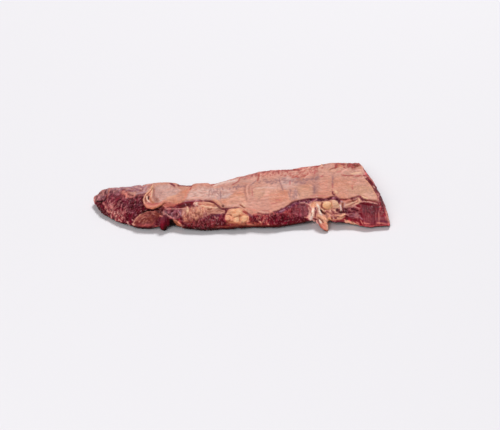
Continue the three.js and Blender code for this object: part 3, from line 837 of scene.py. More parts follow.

# Fibres, creases and blush of the silverskin, and the folds of its curl, with painted shade in its
# hollows and pits
SHEET_STROKES = (
    Flecks(Ink.BLUSH, SHEET_MIDDLE, 420, -6, 6, 0.4, 0.06, 0.45),
    Flecks(Ink.DUSK, SHEET_MIDDLE, 300, -6, 3.5, 0.4, -0.06, 0.4),
    Flecks(Ink.SLATE, "254,184 262,180.4 284,178.6 302,178 318,176 318,180 304,184.4 "
        "284,184", 60, -14, 3.2, 0.8, -0.2),
    Flecks(Ink.SLATE, "228,190 232,186.4 244,184.6 246,187 236,191", 22, -40, 2, 0.7, -0.2, 0.7),
    Flecks(Ink.SILVER, "280,184 284,177 294,177 300,184 296,188 "
        "284,188", 30, -20, 3, 0.7, 0.04, 0.22),
    Flecks(Ink.SILVER, "190,198 192,190 222,188 228,192 222,197 "
        "206,198", 60, -4, 5, 0.5, 0.05, 0.4),
    Flecks(Ink.DUSK, "190,198 192,190 222,188 228,192 222,197 "
        "206,198", 40, -4, 4, 0.45, -0.06, 0.5),
    Flecks(Ink.SLATE, "287,191 299,190.4 299,199.6 288,200", 26, 80, 4, 0.5, -0.12, 0.5),
    Flecks(Ink.SLATE, "206,190 222,188.4 222,197.6 209,197", 20, 80, 3, 0.6, -0.12, 0.45),
    Flecks(Ink.BRICK, FAR_BAND, 130, -30, 2.2, 0.45, -0.1, 0.65),
    Flecks(Ink.BLUSH, FAR_BAND, 110, -30, 2.2, 0.4, 0.1),
    # painted shade: dark line along the hollow on the curl's right
    Stroke(Ink.DUSK, "153.6,188.6 153.6,193 154.4,197.4 156.8,201.4", 0.9, -0.9, 0.9),
    Stroke(Ink.ORANGE, "144.8,205.4 147.6,207.6 152,208.6 157,207.4 162,204.6 "
        "165.4,202", 0.7, 0.75, 1),
    Stroke(Ink.SALMON, "144.6,203.6 147.6,206.2 152,207.2 157,206 161.6,203.2 "
        "165,200.8", 0.75, 0.6, 0.7),
    Stroke(Ink.ROSE, "147.6,203.8 152.6,204.8 157.6,203.4", 0.7, -0.6, 0.88),
    Stroke(Ink.OCHRE, "149.4,198.6 151.2,201.4 153.6,203.4", 0.9, 0, 0.94),
    Stroke(Ink.PEACH, "153,186.4 150.8,189.8 148.2,192.4 145.4,195 144,197.6 143.5,201 "
        "144.4,204.4", 0.65, 0.9, 0.95),
    Stroke(Ink.CREAM, "153,187 152.4,190.6 151.8,194.4 151,198.2", 0.55, 0.6, 0.95),
    # painted shade in the two holes of the curl
    Stroke(Ink.BLACK, "148.9,196.2 148.5,198 147.9,199.8", 0.75, -1, 0.9),
    Stroke(Ink.BROWN, "145.3,198.4 145.5,200.4 146.1,202.2", 0.7, -1, 0.95),
    Stroke(Ink.WHITE, "146.2,196.4 146.8,199 148,201.1 149.6,202.4", 0.55, 0.5, 1),
    Stroke(Ink.PEACH, "166.6,199 171,197.8 176,196.4", 1, 0.3, 0.62),
    Stroke(Ink.BROWN, "162.6,204.2 164.6,203 165.6,203.6", 0.6, -0.6, 1),
    Stroke(Ink.BLUSH, "169,186.6 173,186.2 177,187.2", 0.8, 0.15, 0.75),
    Stroke(Ink.BRICK, "191.6,186 191,188 190,190", 0.6, -0.3, 0.88),
    Stroke(Ink.SALMON, "189.4,189 187.6,192 186.4,196 184.6,199.6", 0.7, 0.3, 0.75),
    Stroke(Ink.BLUSH, "188,198.4 194,198 203,198.6", 0.7, 0.45, 0.75),
    Stroke(Ink.SLATE, "219.8,189.6 220.5,193 220.5,197 220.3,199.8", 0.6, -0.4, 0.5),
    Stroke(Ink.SLATE, "221.8,187.6 223.2,190.2", 0.6, -0.3, 0.7),
    Stroke(Ink.SILVER, "222.6,197.4 226.6,196.6 230.6,194.4", 1.1, 0.1, 0.4),
    Stroke(Ink.BLUSH, "215.4,196.8 216.4,198.8", 0.8, 0.3, 0.88),
    Stroke(Ink.SILVER, "213,186.8 219,184.7 226,182.6 232,181.8 237.6,180.4", 0.9, 0.5, 0.8),
    Stroke(Ink.BRICK, "224,179.8 231,178.8 237.6,177.6", 0.6, -0.2, 0.7),
    Stroke(Ink.BRICK, "232,185.2 236,183.2 238.8,181 240,178.2", 0.6, -0.3, 0.7),
    Stroke(Ink.ROSE, "214,184.6 218.6,182.6 222.6,180.6", 0.6, -0.15, 0.75),
    Stroke(Ink.BRICK, "211,186 214.4,185", 0.6, -0.15, 0.75),
    Stroke(Ink.DUSK, "246.5,184.5 245,187.5 244.6,191 245.3,195 246.4,199 "
        "246.8,201.8", 0.7, -0.4, 0.6),
    Stroke(Ink.BLUSH, "248.2,185 247,188 246.8,192 247.8,196 248.6,199.4", 0.6, 0.4, 0.8),
    Stroke(Ink.DUSK, "249.6,186.4 249,190 249.3,194.4", 0.7, -0.3, 0.6),
    Stroke(Ink.ROSE, "252,189 252.6,196.4", 0.5, -0.22, 0.62),
    Stroke(Ink.SLATE, "256.4,180.8 254,182.5 252,184.5 249.8,185.7", 0.5, -0.3, 0.6),
    Stroke(Ink.BLUSH, "226.4,205.7 230,206 236,205.8 239,205", 0.7, 0.6, 0.88),
    Stroke(Ink.BROWN, "240,205 241.5,206 243,207.2 245.4,208.4", 0.6, -0.75, 1),
    Stroke(Ink.CREAM, "241.8,204.4 244.6,206.4", 0.6, 0.45, 0.88),
    # painted shade in a small pit
    Stroke(Ink.BLACK, "222.8,206 223.4,206.6", 0.8, -0.9, 0.95),
    Stroke(Ink.SALMON, "246,208.3 250,209.6 256,210.4", 0.7, 0.15, 0.75),
    Stroke(Ink.BRICK, "259,175.8 258.5,178.5 257.3,181.4", 0.7, -0.4, 0.7),
    Stroke(Ink.BLUSH, "261,174 260.6,177.4 260,180", 0.6, 0.3, 0.75),
    Stroke(Ink.SLATE, "279.4,178.6 279.5,181.5 281,185 282.2,188 282.9,190.4", 0.7, -0.35, 0.7),
    Stroke(Ink.ROSE, "290,181 290,185", 0.6, -0.15, 0.75),
    Stroke(Ink.SALMON, "261.6,197.8 267,196.1 272,195.4 278.6,194.8", 0.5, -0.15, 0.75),
    Stroke(Ink.BLUSH, "263.6,195.2 269,195.4", 0.6, 0.22, 0.75),
    Stroke(Ink.ROSE, "275.6,200.3 281.4,200.3", 0.45, -0.15, 0.75),
    Stroke(Ink.ROSE, "271,204.4 277.4,203.3", 0.45, -0.15, 0.62),
    Stroke(Ink.BLUSH, "254,193 262,192 270,192.4", 0.6, 0.1, 0.5),
    Stroke(Ink.SILVER, "256,188.6 266,187.6 276,188.6", 0.9, 0.1, 0.35),
    Stroke(Ink.BLUSH, "262,198.8 273,197.6 285,197", 0.6, 0.1, 0.5),
    Stroke(Ink.BLUSH, "251,203 261,202.6 272,201", 0.6, 0.1, 0.45),
    Stroke(Ink.BLUSH, "243,204 250,207 260,208", 0.6, 0.1, 0.45),
    Stroke(Ink.TAN, "255,196 265,194.4 277,193", 0.5, -0.1, 0.6),
    Stroke(Ink.TAN, "254,190.6 264,190 274,190.6", 0.5, -0.1, 0.5),
    Stroke(Ink.BLUSH, "226,202 232,199 238,197", 0.8, 0.1, 0.4),
    Stroke(Ink.BLUSH, "279,205 285,202.6", 0.6, 0.15, 0.62),
    Stroke(Ink.BRICK, "285,170.4 292,169.7 299,170.2", 0.9, -0.15, 0.88),
    Stroke(Ink.BRICK, "278.2,172 279.1,174.2", 0.7, -0.3, 0.88),
    Stroke(Ink.BRICK, "287,171.4 287.5,173.4", 0.6, -0.15, 0.88),
    Stroke(Ink.BRICK, "298.6,172.6 302.4,171.8", 0.5, -0.15, 0.75),
    Stroke(Ink.BRICK, "291.6,178.2 296,177 299,177.6", 0.6, -0.15, 0.75),
    Stroke(Ink.BRICK, "303.6,177 307,175.4 309,172.6", 0.6, -0.15, 0.75),
    Stroke(Ink.ROSE, "269.8,174.4 270.6,176.4", 0.6, -0.15, 0.75),
    Stroke(Ink.BLUSH, "300,171.4 305,169.6 311,167.6", 0.7, 0.15, 0.75),
    Stroke(Ink.BLUSH, "304.6,179 307.4,175.6", 0.6, 0.15, 0.75),
    Stroke(Ink.BLUSH, "307.6,171 309.6,174", 0.6, 0.15, 0.75),
    Stroke(Ink.BRICK, "316,167 319.4,166.2", 1.1, -0.15, 0.94),
    Stroke(Ink.CREAM, "321.3,163.6 321.8,166.8", 0.7, 0.5, 0.9),
    Stroke(Ink.BROWN, "323.4,164 323.8,165.4", 0.7, -0.3, 0.88),
    Stroke(Ink.BRICK, "321.4,168.4 323,168.2", 0.5, -0.15, 0.88),
    Stroke(Ink.ROSE, "315.2,169.6 314.4,174.4", 0.7, -0.22, 0.88),
    Stroke(Ink.ROSE, "311.8,170.4 310,173.6", 0.5, -0.15, 0.75),
    Stroke(Ink.BROWN, "329.6,169.8 333,168.4 336.4,167.8", 0.6, -0.38, 0.75),
    Stroke(Ink.BRICK, "336.2,164.4 335.5,167.8", 0.9, -0.3, 1),
    Stroke(Ink.BRICK, "342,163.6 344,166", 1, -0.3, 1),
    Stroke(Ink.ORANGE, "338.4,166 341.4,166.4", 0.9, 0.15, 0.88),
    Stroke(Ink.BRICK, "343.6,167.5 345.4,168.7", 0.5, -0.15, 1),
    Stroke(Ink.BRICK, "348,167.4 350,165 353,164", 1.1, -0.3, 1),
    Stroke(Ink.BROWN, "354.4,165.6 358.4,166", 1, -0.38, 1),
    Stroke(Ink.BROWN, "351.6,168.6 354.4,168", 0.6, -0.45, 1),
    Stroke(Ink.BLUSH, "341.4,173.4 344,171.2 347.4,169.8", 1, 0.6, 1),
    Stroke(Ink.CREAM, "351,174.5 355,174 358,173.5 360.6,173", 0.7, 0.6, 0.9),
    Stroke(Ink.BRICK, "341.6,175.2 346,175.8 350,175.8 355,176.2 361,176", 0.6, -0.68, 1),
    Stroke(Ink.ROSE, "336.4,172.6 341,171.6", 0.6, 0.15, 0.62),
    Stroke(Ink.SLATE, "333,176.4 332.5,181 332.8,185.6", 0.9, -0.3, 0.65),
    Stroke(Ink.ROSE, "332.4,183.6 332.6,188.6", 0.6, -0.3, 0.75),
    Stroke(Ink.MAROON, "332.4,191.4 332.8,194 334.8,195.4", 0.7, -0.75, 1),
    Stroke(Ink.CREAM, "335.2,191.6 337.2,193.2", 1.2, 0.3, 0.9),
    Stroke(Ink.SLATE, "314.4,186 314.7,193.4", 0.8, -0.22, 0.62),
    Stroke(Ink.ROSE, "320.6,177 323.2,176", 0.6, -0.22, 0.88),
    Stroke(Ink.ROSE, "352,185.6 352.6,190", 0.7, -0.15, 0.62),
    Stroke(Ink.ROSE, "310,196.4 318,196 328,196.4", 0.5, -0.15, 0.62),
    Stroke(Ink.BLUSH, "348.6,183.4 352,183.2", 0.5, 0.15, 0.75),
    Stroke(Ink.BLUSH, "354.6,184.2 359.4,182.4", 0.6, 0.15, 0.75),
    Stroke(Ink.ROSE, "352.6,180.2 356,180.4", 0.6, -0.15, 0.62),
    Stroke(Ink.BLUSH, "361.2,163.6 362.5,168 363.5,172 364.4,175", 0.9, 0.45, 1),
    Stroke(Ink.RED, "363.4,176 365.2,175.5", 0.8, -0.6, 1),
    Stroke(Ink.BLUSH, "362.8,178.2 364.6,177.2 366.4,177.6", 0.7, 0.45, 1),
    Stroke(Ink.PEACH, "365,180 368.6,183.6 371.2,186.8 373.4,190.6 375.4,194.6 "
        "377.4,198.6", 0.7, 0.75, 1),
    Stroke(Ink.BRICK, "339.6,199.4 344,199.9 349,199.2", 0.5, -0.75, 1),
    Stroke(Ink.MAROON, "351,198.7 355.6,197.1 359.8,196.2", 0.6, -0.9, 1),
    Stroke(Ink.CREAM, "361.8,196.6 364,198.2 368,199.3", 0.8, 0.6, 1),
    Stroke(Ink.MAROON, "359.8,196.8 361.6,198.5 363.8,199.9", 0.6, -0.9, 1),
    Stroke(Ink.BROWN, "365,200.6 370,200.7 376,200.9", 0.6, -0.75, 1),
    Stroke(Ink.BRICK, "376.8,201.6 378.4,202.8", 0.7, -0.3, 0.88),
)  # fmt: skip

# Seams, folds, strands, painted highlights and painted shade of the front flank and the cut
FLANK_STROKES = (
    Flecks(Ink.WINE, "250,215 274,213 286,208 310,205 311,219 290,223 "
        "256,223.6", 130, 80, 2.4, 0.5, -0.2),
    Flecks(Ink.SALMON, "250,215 262,214.6 271,214 270,221 266,224 "
        "256,223.6", 55, 80, 1.9, 0.42, 0.2, 0.75),
    Flecks(Ink.ROSE, "271,214 280,211 288,208 296,214 290,222 280,223.6 "
        "271,224", 50, 80, 1.8, 0.4, 0.15, 0.55),
    Flecks(Ink.ROSE, "284,210 296,205 308,206 310,216 300,220 "
        "286,221", 50, 80, 2.4, 0.4, 0.1, 0.35),
    Flecks(Ink.WINE, "345,207 358,206 361,214 356,219 347,218", 26, 14, 3.4, 0.6, -0.4, 0.75),
    Flecks(Ink.PINK, "345,207 358,206 361,214 356,219 347,218", 22, 14, 3, 0.42, 0.3, 0.65),
    Flecks(Ink.MAROON, "186,212 196,211 206,212 206,219 196,222 186,221", 18, 82, 5, 0.5, -0.5),
    Flecks(Ink.BLUSH, "184,209 196,208 206,210 204,217 190,219", 16, 82, 5, 0.6, 0.4, 0.55),
    Flecks(Ink.ROSE, "184,222 198,218 207,216 224,214.5 225,223 206,225 "
        "186,224", 55, 75, 1.6, 0.42, 0.15, 0.5),
    Flecks(Ink.ROSE, "358,206 378,206 386,216 389,224 364,224 "
        "352,219", 80, 82, 3.2, 0.4, 0.12, 0.45),
    Flecks(Ink.BROWN, "184,209 190,207 200,208 206,213 198,219 190,222 "
        "184,220", 42, 70, 2, 0.5, -0.35, 0.55),
    Flecks(Ink.PEACH, "183,208 190,206 200,208 206,212 198,218 190,221 "
        "184,219", 42, 66, 1.6, 0.8, 0.35, 0.5),
    Flecks(Ink.BROWN, "136,223 143,215 152,213 157,215 152,224 142,226", 60, -35, 2, 0.45, -0.12),
    Flecks(Ink.TAN, "138,221 144,215 152,214 156,216 150,221 142,223", 30, -30, 2.2, 0.7, 0.1, 0.4),
    Flecks(Ink.SALMON, "136,223 143,215 152,213 157,215 152,224 "
        "142,226", 40, -35, 1.6, 0.4, 0.12, 0.35),
    Stroke(Ink.SALMON, "162.8,205 164.8,207 166.4,207.8", 0.5, 0.3, 0.8),
    Stroke(Ink.BROWN, "161.6,206 163.4,208.2", 0.5, -0.3, 0.8),
    Stroke(Ink.MAROON, "167,207.6 171,207.5 175,206.8", 0.5, -0.4, 0.8),
    Stroke(Ink.BLUSH, "164.6,209.1 170,208.9 176,208.9 182,208.7 187,208.5", 0.45, 0.4, 0.8),
    Stroke(Ink.LILAC, "184,201.4 190,201.2 196,200.8 200,200.8", 0.5, 0.1, 0.7),
    Stroke(Ink.WINE, "177.6,206.8 179.6,206", 0.9, -0.4, 0.8),
    Stroke(Ink.WINE, "190.4,203.6 190.6,207.4", 0.8, -0.5, 0.8),
    Stroke(Ink.MAUVE, "184.6,203.4 186.2,206", 0.5, 0.2, 0.8),
    Stroke(Ink.CREAM, "187.4,207.4 188.1,210 187,213", 1, 0.5),
    Stroke(Ink.BLUSH, "184,211.6 182,216", 0.8, 0.3, 0.8),
    Stroke(Ink.LILAC, "178.6,211 180.2,213 181,216", 0.6, 0.3),
    Stroke(Ink.PINK, "164.6,213 168,215.5 171,217.5 174.4,219", 0.7, 0.4),
    Stroke(Ink.WINE, "170,211.6 172.6,211.2", 0.9, -0.4, 0.8),
    Stroke(Ink.WINE, "173,215.8 175.4,214.6", 1.1, -0.5, 0.9),
    Stroke(Ink.WINE, "176.6,212 176.2,214", 0.6, -0.4, 0.8),
    Stroke(Ink.LILAC, "172,216 171.5,213.5 173.2,212", 0.4, 0.3, 0.8),
    Stroke(Ink.PINK, "177.4,217 178.5,214.5 178,212.4", 0.4, 0.3, 0.8),
    Stroke(Ink.PINK, "163,211.8 164,215", 0.9, 0.3),
    Stroke(Ink.SALMON, "159.6,215.4 162.2,217", 0.8, 0.2),
    # painted highlights on the drop's left side
    Stroke(Ink.SLATE, "159.9,221.4 160,226", 0.5, 0.1, 0.7),
    Stroke(Ink.RED, "162.4,220 162,229", 1.3, 0, 0.6),
    Stroke(Ink.MAUVE, "165.6,217 166.3,221.6", 0.5, 0.2, 0.5),
    Stroke(Ink.TAN, "173.4,219.6 176,220.7 178.5,222.2 180.5,224.6 182.5,227.2", 0.7, 0.4, 0.6),
    Stroke(Ink.WINE, "180.4,218.4 183,220.8", 1, -0.4, 0.8),
    Stroke(Ink.WINE, "182,222.6 184.2,226", 0.8, -0.4, 0.8),
    Stroke(Ink.WINE, "194.2,218.6 193.4,222.6", 0.8, -0.4, 0.6),
    # painted highlight on the small fat ball
    Stroke(Ink.WHITE, "196,203.2 196.8,204.8", 1.1, 0.3, 0.8),
    Stroke(Ink.BRICK, "198.4,204 201.4,205", 0.6, -0.4),
    Stroke(Ink.MAROON, "204.6,200.7 210,201.1 213,202 215.5,203.7 217.5,205.4 219.5,207.4 "
        "221,208", 0.65, -0.8, 0.9),
    Stroke(Ink.PEACH, "212.6,199.6 216.6,200.9 219.2,203.4 221,206", 0.9, 0.5, 0.7),
    Stroke(Ink.CREAM, "200,205.2 205,206.6 210,207.6 215,208 218.4,207.2", 0.7, 0.45),
    Stroke(Ink.PEACH, "203,202.8 209,203 213.4,204.6", 0.8, 0.2, 0.6),
    Stroke(Ink.OCHRE, "206,204.6 211,205.4 215,206", 0.5, -0.2, 0.6),
    Stroke(Ink.BROWN, "207.6,209.4 210,209.7 211.8,208.6", 0.7, -0.5),
    Stroke(Ink.MAROON, "221,208.6 224,209.2 226,211 225.5,213 224.5,215", 0.8, -0.6, 0.9),
    Stroke(Ink.WINE, "211,214.2 212.2,216", 1, -0.3),
    # painted sheen on the wet flesh
    Stroke(Ink.PLUM, "215.6,215.6 219.6,215", 1, 0.1, 0.7),
    Stroke(Ink.PINK, "214.8,217 217,218.8 218.4,217", 0.5, 0.3),
    Stroke(Ink.BROWN, "225,224.6 231,224 237,224.8", 0.7, -0.3, 0.6),
    Stroke(Ink.OCHRE, "212,227.4 220,226.6 228,226.4", 0.8, 0.2, 0.4),
    Stroke(Ink.PEACH, "240,223.6 247,224.3 254,225", 0.7, 0.1, 0.35),
    Stroke(Ink.BROWN, "226.8,221.8 230.4,220", 0.6, -0.5, 0.8),
    Stroke(Ink.OCHRE, "238.6,223.2 239.8,224.4", 0.6, -0.3, 0.8),
    Stroke(Ink.BRICK, "243,211 246,213.4", 0.7, -0.4),
    Stroke(Ink.MAUVE, "248,213.8 252.4,216.6", 1, 0.1, 0.8),
    Stroke(Ink.SLATE, "238.6,217.4 239.4,218.4", 0.5, -0.3, 0.7),
    # painted highlights on the tops of the nodules
    Stroke(Ink.CREAM, "236,219.4 238.6,220.8", 0.7, 0.1, 0.7),
    Stroke(Ink.CREAM, "244,216.6 245.6,217.8", 0.7, 0.1, 0.5),
    Stroke(Ink.CREAM, "237.6,211 240.6,212", 0.9, 0.1, 0.5),
    Stroke(Ink.MAROON, "257.8,212.9 262,213.9 266,214.5 268.6,214.2", 0.5, -0.5),
    Stroke(Ink.BRICK, "262,211.2 266,211 269.4,211.6", 0.45, -0.3, 0.75),
    Stroke(Ink.BLUSH, "258,211.8 264,212.6 268.2,213", 0.6, 0.4, 0.7),
    Stroke(Ink.WINE, "273,212 277,211.4 280,210.2 282,208.2", 0.6, -0.5),
    Stroke(Ink.LILAC, "279.4,211.6 282,211 284.4,209.6", 0.8, 0.2, 0.7),
    Stroke(Ink.LILAC, "287.4,207 289.6,206", 0.8, 0.2, 0.8),
    Stroke(Ink.WINE, "285.6,208.2 288,206 290,204.5 292,202.7 295,201.4 300,201 "
        "304,200", 0.7, -0.6),
    Stroke(Ink.BLUSH, "299.6,203.2 304,202.6 307,203.6 309.6,205.6", 0.7, 0.45),
    Stroke(Ink.WINE, "301,205 306.4,205.4", 0.7, -0.2, 0.7),
    Stroke(Ink.RED, "296,209.6 300,209 299.6,212", 1.2, 0, 0.8),
    Stroke(Ink.BRICK, "284.6,211.8 287.6,214 290.6,216.4", 0.6, 0.3, 0.75),
    Stroke(Ink.PEACH, "304.4,216.9 309.4,218", 0.7, 0.2, 0.75),
    Stroke(Ink.WINE, "269,221.6 280,221.8 292,221 304,219.4", 1.6, -0.2, 0.7),
    Stroke(Ink.WINE, "254,217 255,220 258,221.4", 1, -0.3, 0.8),
    Stroke(Ink.PEACH, "258.8,221 261.4,222.8", 0.7, 0.2, 0.8),
    Stroke(Ink.OCHRE, "253,222.4 258,223.9 262,224.2", 0.8, 0.2, 0.5),
    Stroke(Ink.PEACH, "267.4,224 269,224.8", 0.7, 0.3, 0.8),
    Stroke(Ink.WINE, "303.6,200.4 308,200.2 312.4,199.6", 1.1, -0.4, 0.8),
    Stroke(Ink.WINE, "316.6,198.6 321,199.2 324.8,199.7", 0.9, -0.5),
    Stroke(Ink.WINE, "326.2,199.4 329.4,199.6", 0.9, -0.5),
    Stroke(Ink.MAROON, "329.6,197.6 333,196.7 335.2,197.4", 0.7, -0.4),
    Stroke(Ink.WINE, "335.4,198.9 338,199.9 340.2,200.6", 0.9, -0.5),
    Flecks(Ink.LILAC, "296,202 306,199.4 318,199 316,201.6 304,203 "
        "298,204", 16, -30, 1.6, 0.5, 0.1),
    Stroke(Ink.LILAC, "333,198 334,198.4", 0.7, 0.1, 0.8),
    Stroke(Ink.PINK, "309.6,203.2 313,201.6 316,199.8 317.4,198.4", 0.7, 0.3, 0.8),
    Stroke(Ink.MAROON, "338.2,200.6 339.3,204", 0.8, -0.5),
    Stroke(Ink.LILAC, "340.6,200.8 342.8,202.2", 0.8, 0.1, 0.8),
    Stroke(Ink.BROWN, "342.5,203 342.2,206.4", 0.6, -0.3, 0.8),
    Stroke(Ink.BRICK, "345.4,200.6 348.6,200.4", 0.9, 0, 0.8),
    Stroke(Ink.SLATE, "353.4,200.4 356.4,199.6", 0.9, -0.2, 0.7),
    Stroke(Ink.BROWN, "351.6,199.9 353.4,201", 0.7, -0.4, 0.8),
    # painted shade: the ochre and brown strokes below lie in the furrows between the nodules
    Stroke(Ink.OCHRE, "239.7,215.8 239.9,218.6 239.6,221.6", 0.5, -0.5, 0.6),
    Stroke(Ink.OCHRE, "232.2,218.2 234,217.2 237,216.9 240,215.4 243,214.9 "
        "246.6,215.6", 0.5, -0.4, 0.6),
    Stroke(Ink.OCHRE, "247.6,217.4 247.4,220.4 245,222.2", 0.5, -0.4),
    Stroke(Ink.OCHRE, "226,220.4 229,221.4 233,221.2", 0.6, -0.4),
    Stroke(Ink.BROWN, "226.6,214.6 229.4,214.2 231.8,215.8", 0.5, -0.4, 0.75),
    Stroke(Ink.BRICK, "243.4,211 245.6,212.4 248,214.6", 0.8, -0.3),
    # painted shade in the dark gaps beside and beneath the left fat ball
    Stroke(Ink.BROWN, "322.3,202.4 321.4,204.4 321.5,206.4 322.4,208", 0.65, -0.5, 0.9),
    Stroke(Ink.BLACK, "320.7,209.9 321.6,211.8 323.4,213.1 325.4,213.9", 0.8, -0.9, 0.75),
    Stroke(Ink.CREAM, "321,208.7 322.8,210.1 324.6,211.5", 0.6, 0.4, 0.9),
    # painted shade on the lower sides of the two fat balls
    Stroke(Ink.OCHRE, "323.4,207.4 325,209.1 327.6,209.9 330.8,209.2", 0.55, -0.4, 0.65),
    Stroke(Ink.OCHRE, "331.1,201.8 331.9,204.2 332.2,206.8 331.4,208.6", 0.5, -0.4, 0.65),
    Stroke(Ink.BRICK, "332.6,209 335.2,208.9", 0.5, -0.4, 0.8),
    # painted highlights on the tops of the two fat balls
    Stroke(Ink.CREAM, "325.4,203.2 328,203.4", 1, 0, 0.8),
    Stroke(Ink.CREAM, "335.8,203 338,205.8", 1.4, 0.2, 1),
    Stroke(Ink.MAROON, "325.4,212.4 326.8,211.6 328.4,212.4", 0.55, -0.5, 0.8),
    Stroke(Ink.MAROON, "331.6,210 332.4,211.8 334,212.6", 0.55, -0.5, 0.8),
    Stroke(Ink.BLUSH, "325.3,210.4 326,211.8", 0.6, 0.2),
    Stroke(Ink.BLUSH, "330.1,210.2 330.7,212.6", 0.6, 0.2),
    Stroke(Ink.CREAM, "333.4,209.7 335.4,211.5", 0.6, 0.2),
    Stroke(Ink.WHITE, "313.6,208.3 312.9,211 312.2,213.6 311.4,216.4 310.6,219", 1.5, 0.5, 1),
    Stroke(Ink.WHITE, "312.8,210.4 311.8,215.6", 1.1, 0.1, 1),
    Stroke(Ink.SILVER, "311.6,217 310.6,219.2", 1.6, 0.5, 0.9),
    Stroke(Ink.BLUSH, "309.6,213.4 308.8,218", 1.1, 0.3, 0.9),
    Stroke(Ink.MAROON, "314.9,210.8 315.2,214 315,217.6", 0.65, -0.7, 0.95),
    Stroke(Ink.BROWN, "311.8,213 310.9,216.6", 0.5, -0.3, 0.8),
    Stroke(Ink.BRICK, "309.4,207.6 311,209.6 310.4,213", 0.7, -0.3, 0.7),
    Stroke(Ink.SILVER, "316.8,204.1 317.8,206 319,208.2 319.6,211 320.2,213.4 "
        "322.2,215.3", 1, 0.5, 0.95),
    Stroke(Ink.WHITE, "317.6,205.2 319,207.6", 0.75, 0.1, 0.95),
    Stroke(Ink.WHITE, "319.4,211.6 320.9,214", 0.7, 0.1, 0.95),
    Stroke(Ink.MAROON, "316.2,210 316.7,213.2", 0.75, -0.3, 0.7),
    Stroke(Ink.PLUM, "315.3,207.4 315.4,209.8", 0.55, -0.5, 0.9),
    Stroke(Ink.BROWN, "317.2,217 319.8,218.7 322.2,220.8 323.6,222.8", 0.65, -0.7, 0.95),
    Stroke(Ink.MAROON, "313.2,218.6 315.2,218.9 316.8,219.9", 0.6, -0.6, 0.9),
    Stroke(Ink.WHITE, "318.9,219.7 320.2,221.6 321.3,223.2", 0.75, 0.3, 0.95),
    Stroke(Ink.BLUSH, "315.3,220.7 316.7,221.8", 0.85, 0.2, 0.9),
    Stroke(Ink.MAROON, "317.9,219.3 318,221 319,223", 0.6, -0.6, 0.9),
    # painted highlight along the hanging strip's right side
    Stroke(Ink.CREAM, "324.6,217.6 326.6,219.6 327.1,222.6 327.2,226 327.9,231", 0.55, 0.2, 0.75),
    Stroke(Ink.SALMON, "322.4,224.6 324.8,227.8 327,231.6", 0.9, -0.1, 0.55),
    # painted shade in a small hollow of the fat
    Stroke(Ink.BROWN, "331.2,217.1 331.9,218.9", 0.85, -0.8, 0.95),
    Stroke(Ink.MAROON, "331.4,214.4 333.4,216.8 336.6,218.8", 0.7, -0.6, 0.8),
    Stroke(Ink.PEACH, "332.6,213.6 336,215.6 339.6,215.4", 0.6, 0.3, 0.7),
    Stroke(Ink.BROWN, "338,217.4 342,217.4 345.4,215.8", 0.5, -0.3, 0.5),
    Stroke(Ink.PEACH, "327.2,213.6 329.4,214.6 330.4,216.4", 0.6, 0.3, 0.7),
    Stroke(Ink.BROWN, "329,213 331.2,213.4", 0.5, -0.3, 0.7),
    Stroke(Ink.BRICK, "320.4,225.2 323,228.4 326,231", 1, 0, 0.45),
    Stroke(Ink.BLUSH, "325.6,224.4 326.4,227.4 327.2,230", 0.5, 0.2, 0.7),
    Stroke(Ink.ROSE, "322.4,223.8 324.6,226.4", 0.6, -0.1, 0.6),
    Stroke(Ink.BLUSH, "329.2,217 330,215.3 332.2,215.3 333.7,217 333.6,219.2", 0.5, 0.3, 0.75),
    Stroke(Ink.MAROON, "332.2,213 334.4,214.4 337.8,213.8", 0.6, -0.5, 0.8),
    Stroke(Ink.MAROON, "335.4,218.4 337.4,217 339,216.8", 0.6, -0.4, 0.7),
    Stroke(Ink.SILVER, "340.3,205 341.2,208 341.2,210.9", 0.8, 0.4, 1),
    Stroke(Ink.BROWN, "343,202.6 342.8,206 342.4,209", 0.8, -0.4),
    Stroke(Ink.LILAC, "344.7,203 344.2,207 343.7,209.8", 0.5, 0.2, 0.65),
    # painted shade under the fat cluster's right side
    Stroke(Ink.BLACK, "340.2,212.7 342.8,211.7 346.4,210.7", 1.1, -0.7),
    # painted shade along the fat cluster's lower edge
    Stroke(Ink.OCHRE, "330,220.3 334,220 338,219.8 342.4,219.4", 0.6, -0.2, 0.7),
    Stroke(Ink.CREAM, "343.6,214.6 346,214.2", 0.8, 0.3),
    Stroke(Ink.WINE, "343,208.6 343.4,212 346,213 350.4,212.5", 1, -0.5),
    Stroke(Ink.BLUSH, "360.2,202 364,201.7 368,202.2 373,203 377.8,204", 0.6, 0.7, 0.9),
    Stroke(Ink.CREAM, "358,198.2 359.6,200.2 359,202.6 356,204.2", 0.6, 0.5),
    Stroke(Ink.BLUSH, "352,205.2 356,204.2", 0.6, 0.3, 0.8),
    Stroke(Ink.PINK, "354,206.9 359.4,208.6", 0.5, 0.3, 0.8),
    Stroke(Ink.WINE, "349.6,208.7 355,209.6 358.4,210.6", 0.6, -0.5),
    Stroke(Ink.LILAC, "359.8,216.8 362.6,219.6", 0.6, 0.2, 0.8),
    Stroke(Ink.BRICK, "352,219.8 353.2,221.6", 0.9, -0.2, 0.6),
    Stroke(Ink.SALMON, "355.8,221.8 359.2,223.6", 0.7, 0.2, 0.8),
    Stroke(Ink.SALMON, "360.6,220.6 363.2,224.2", 0.6, 0.2, 0.8),
    Stroke(Ink.CREAM, "353.8,223.4 355.2,225", 0.8, 0.2),
    Stroke(Ink.SALMON, "378.4,212.6 379,219 379.5,224", 0.7, 0.3, 0.6),
    Stroke(Ink.ROSE, "376,213.6 375.4,220.6", 0.5, 0.2, 0.7),
    Stroke(Ink.WINE, "374.4,217.4 375,223.4", 0.5, -0.3, 0.7),
    Stroke(Ink.PLUM, "378,221.6 384,221.2 388,222.4", 0.9, 0, 0.5),
    Stroke(Ink.WINE, "367,178.6 369,181.2 372,185", 1, -0.6, 0.75),
    Stroke(Ink.BLUSH, "372.8,186 375.2,188", 0.8, 0.3),
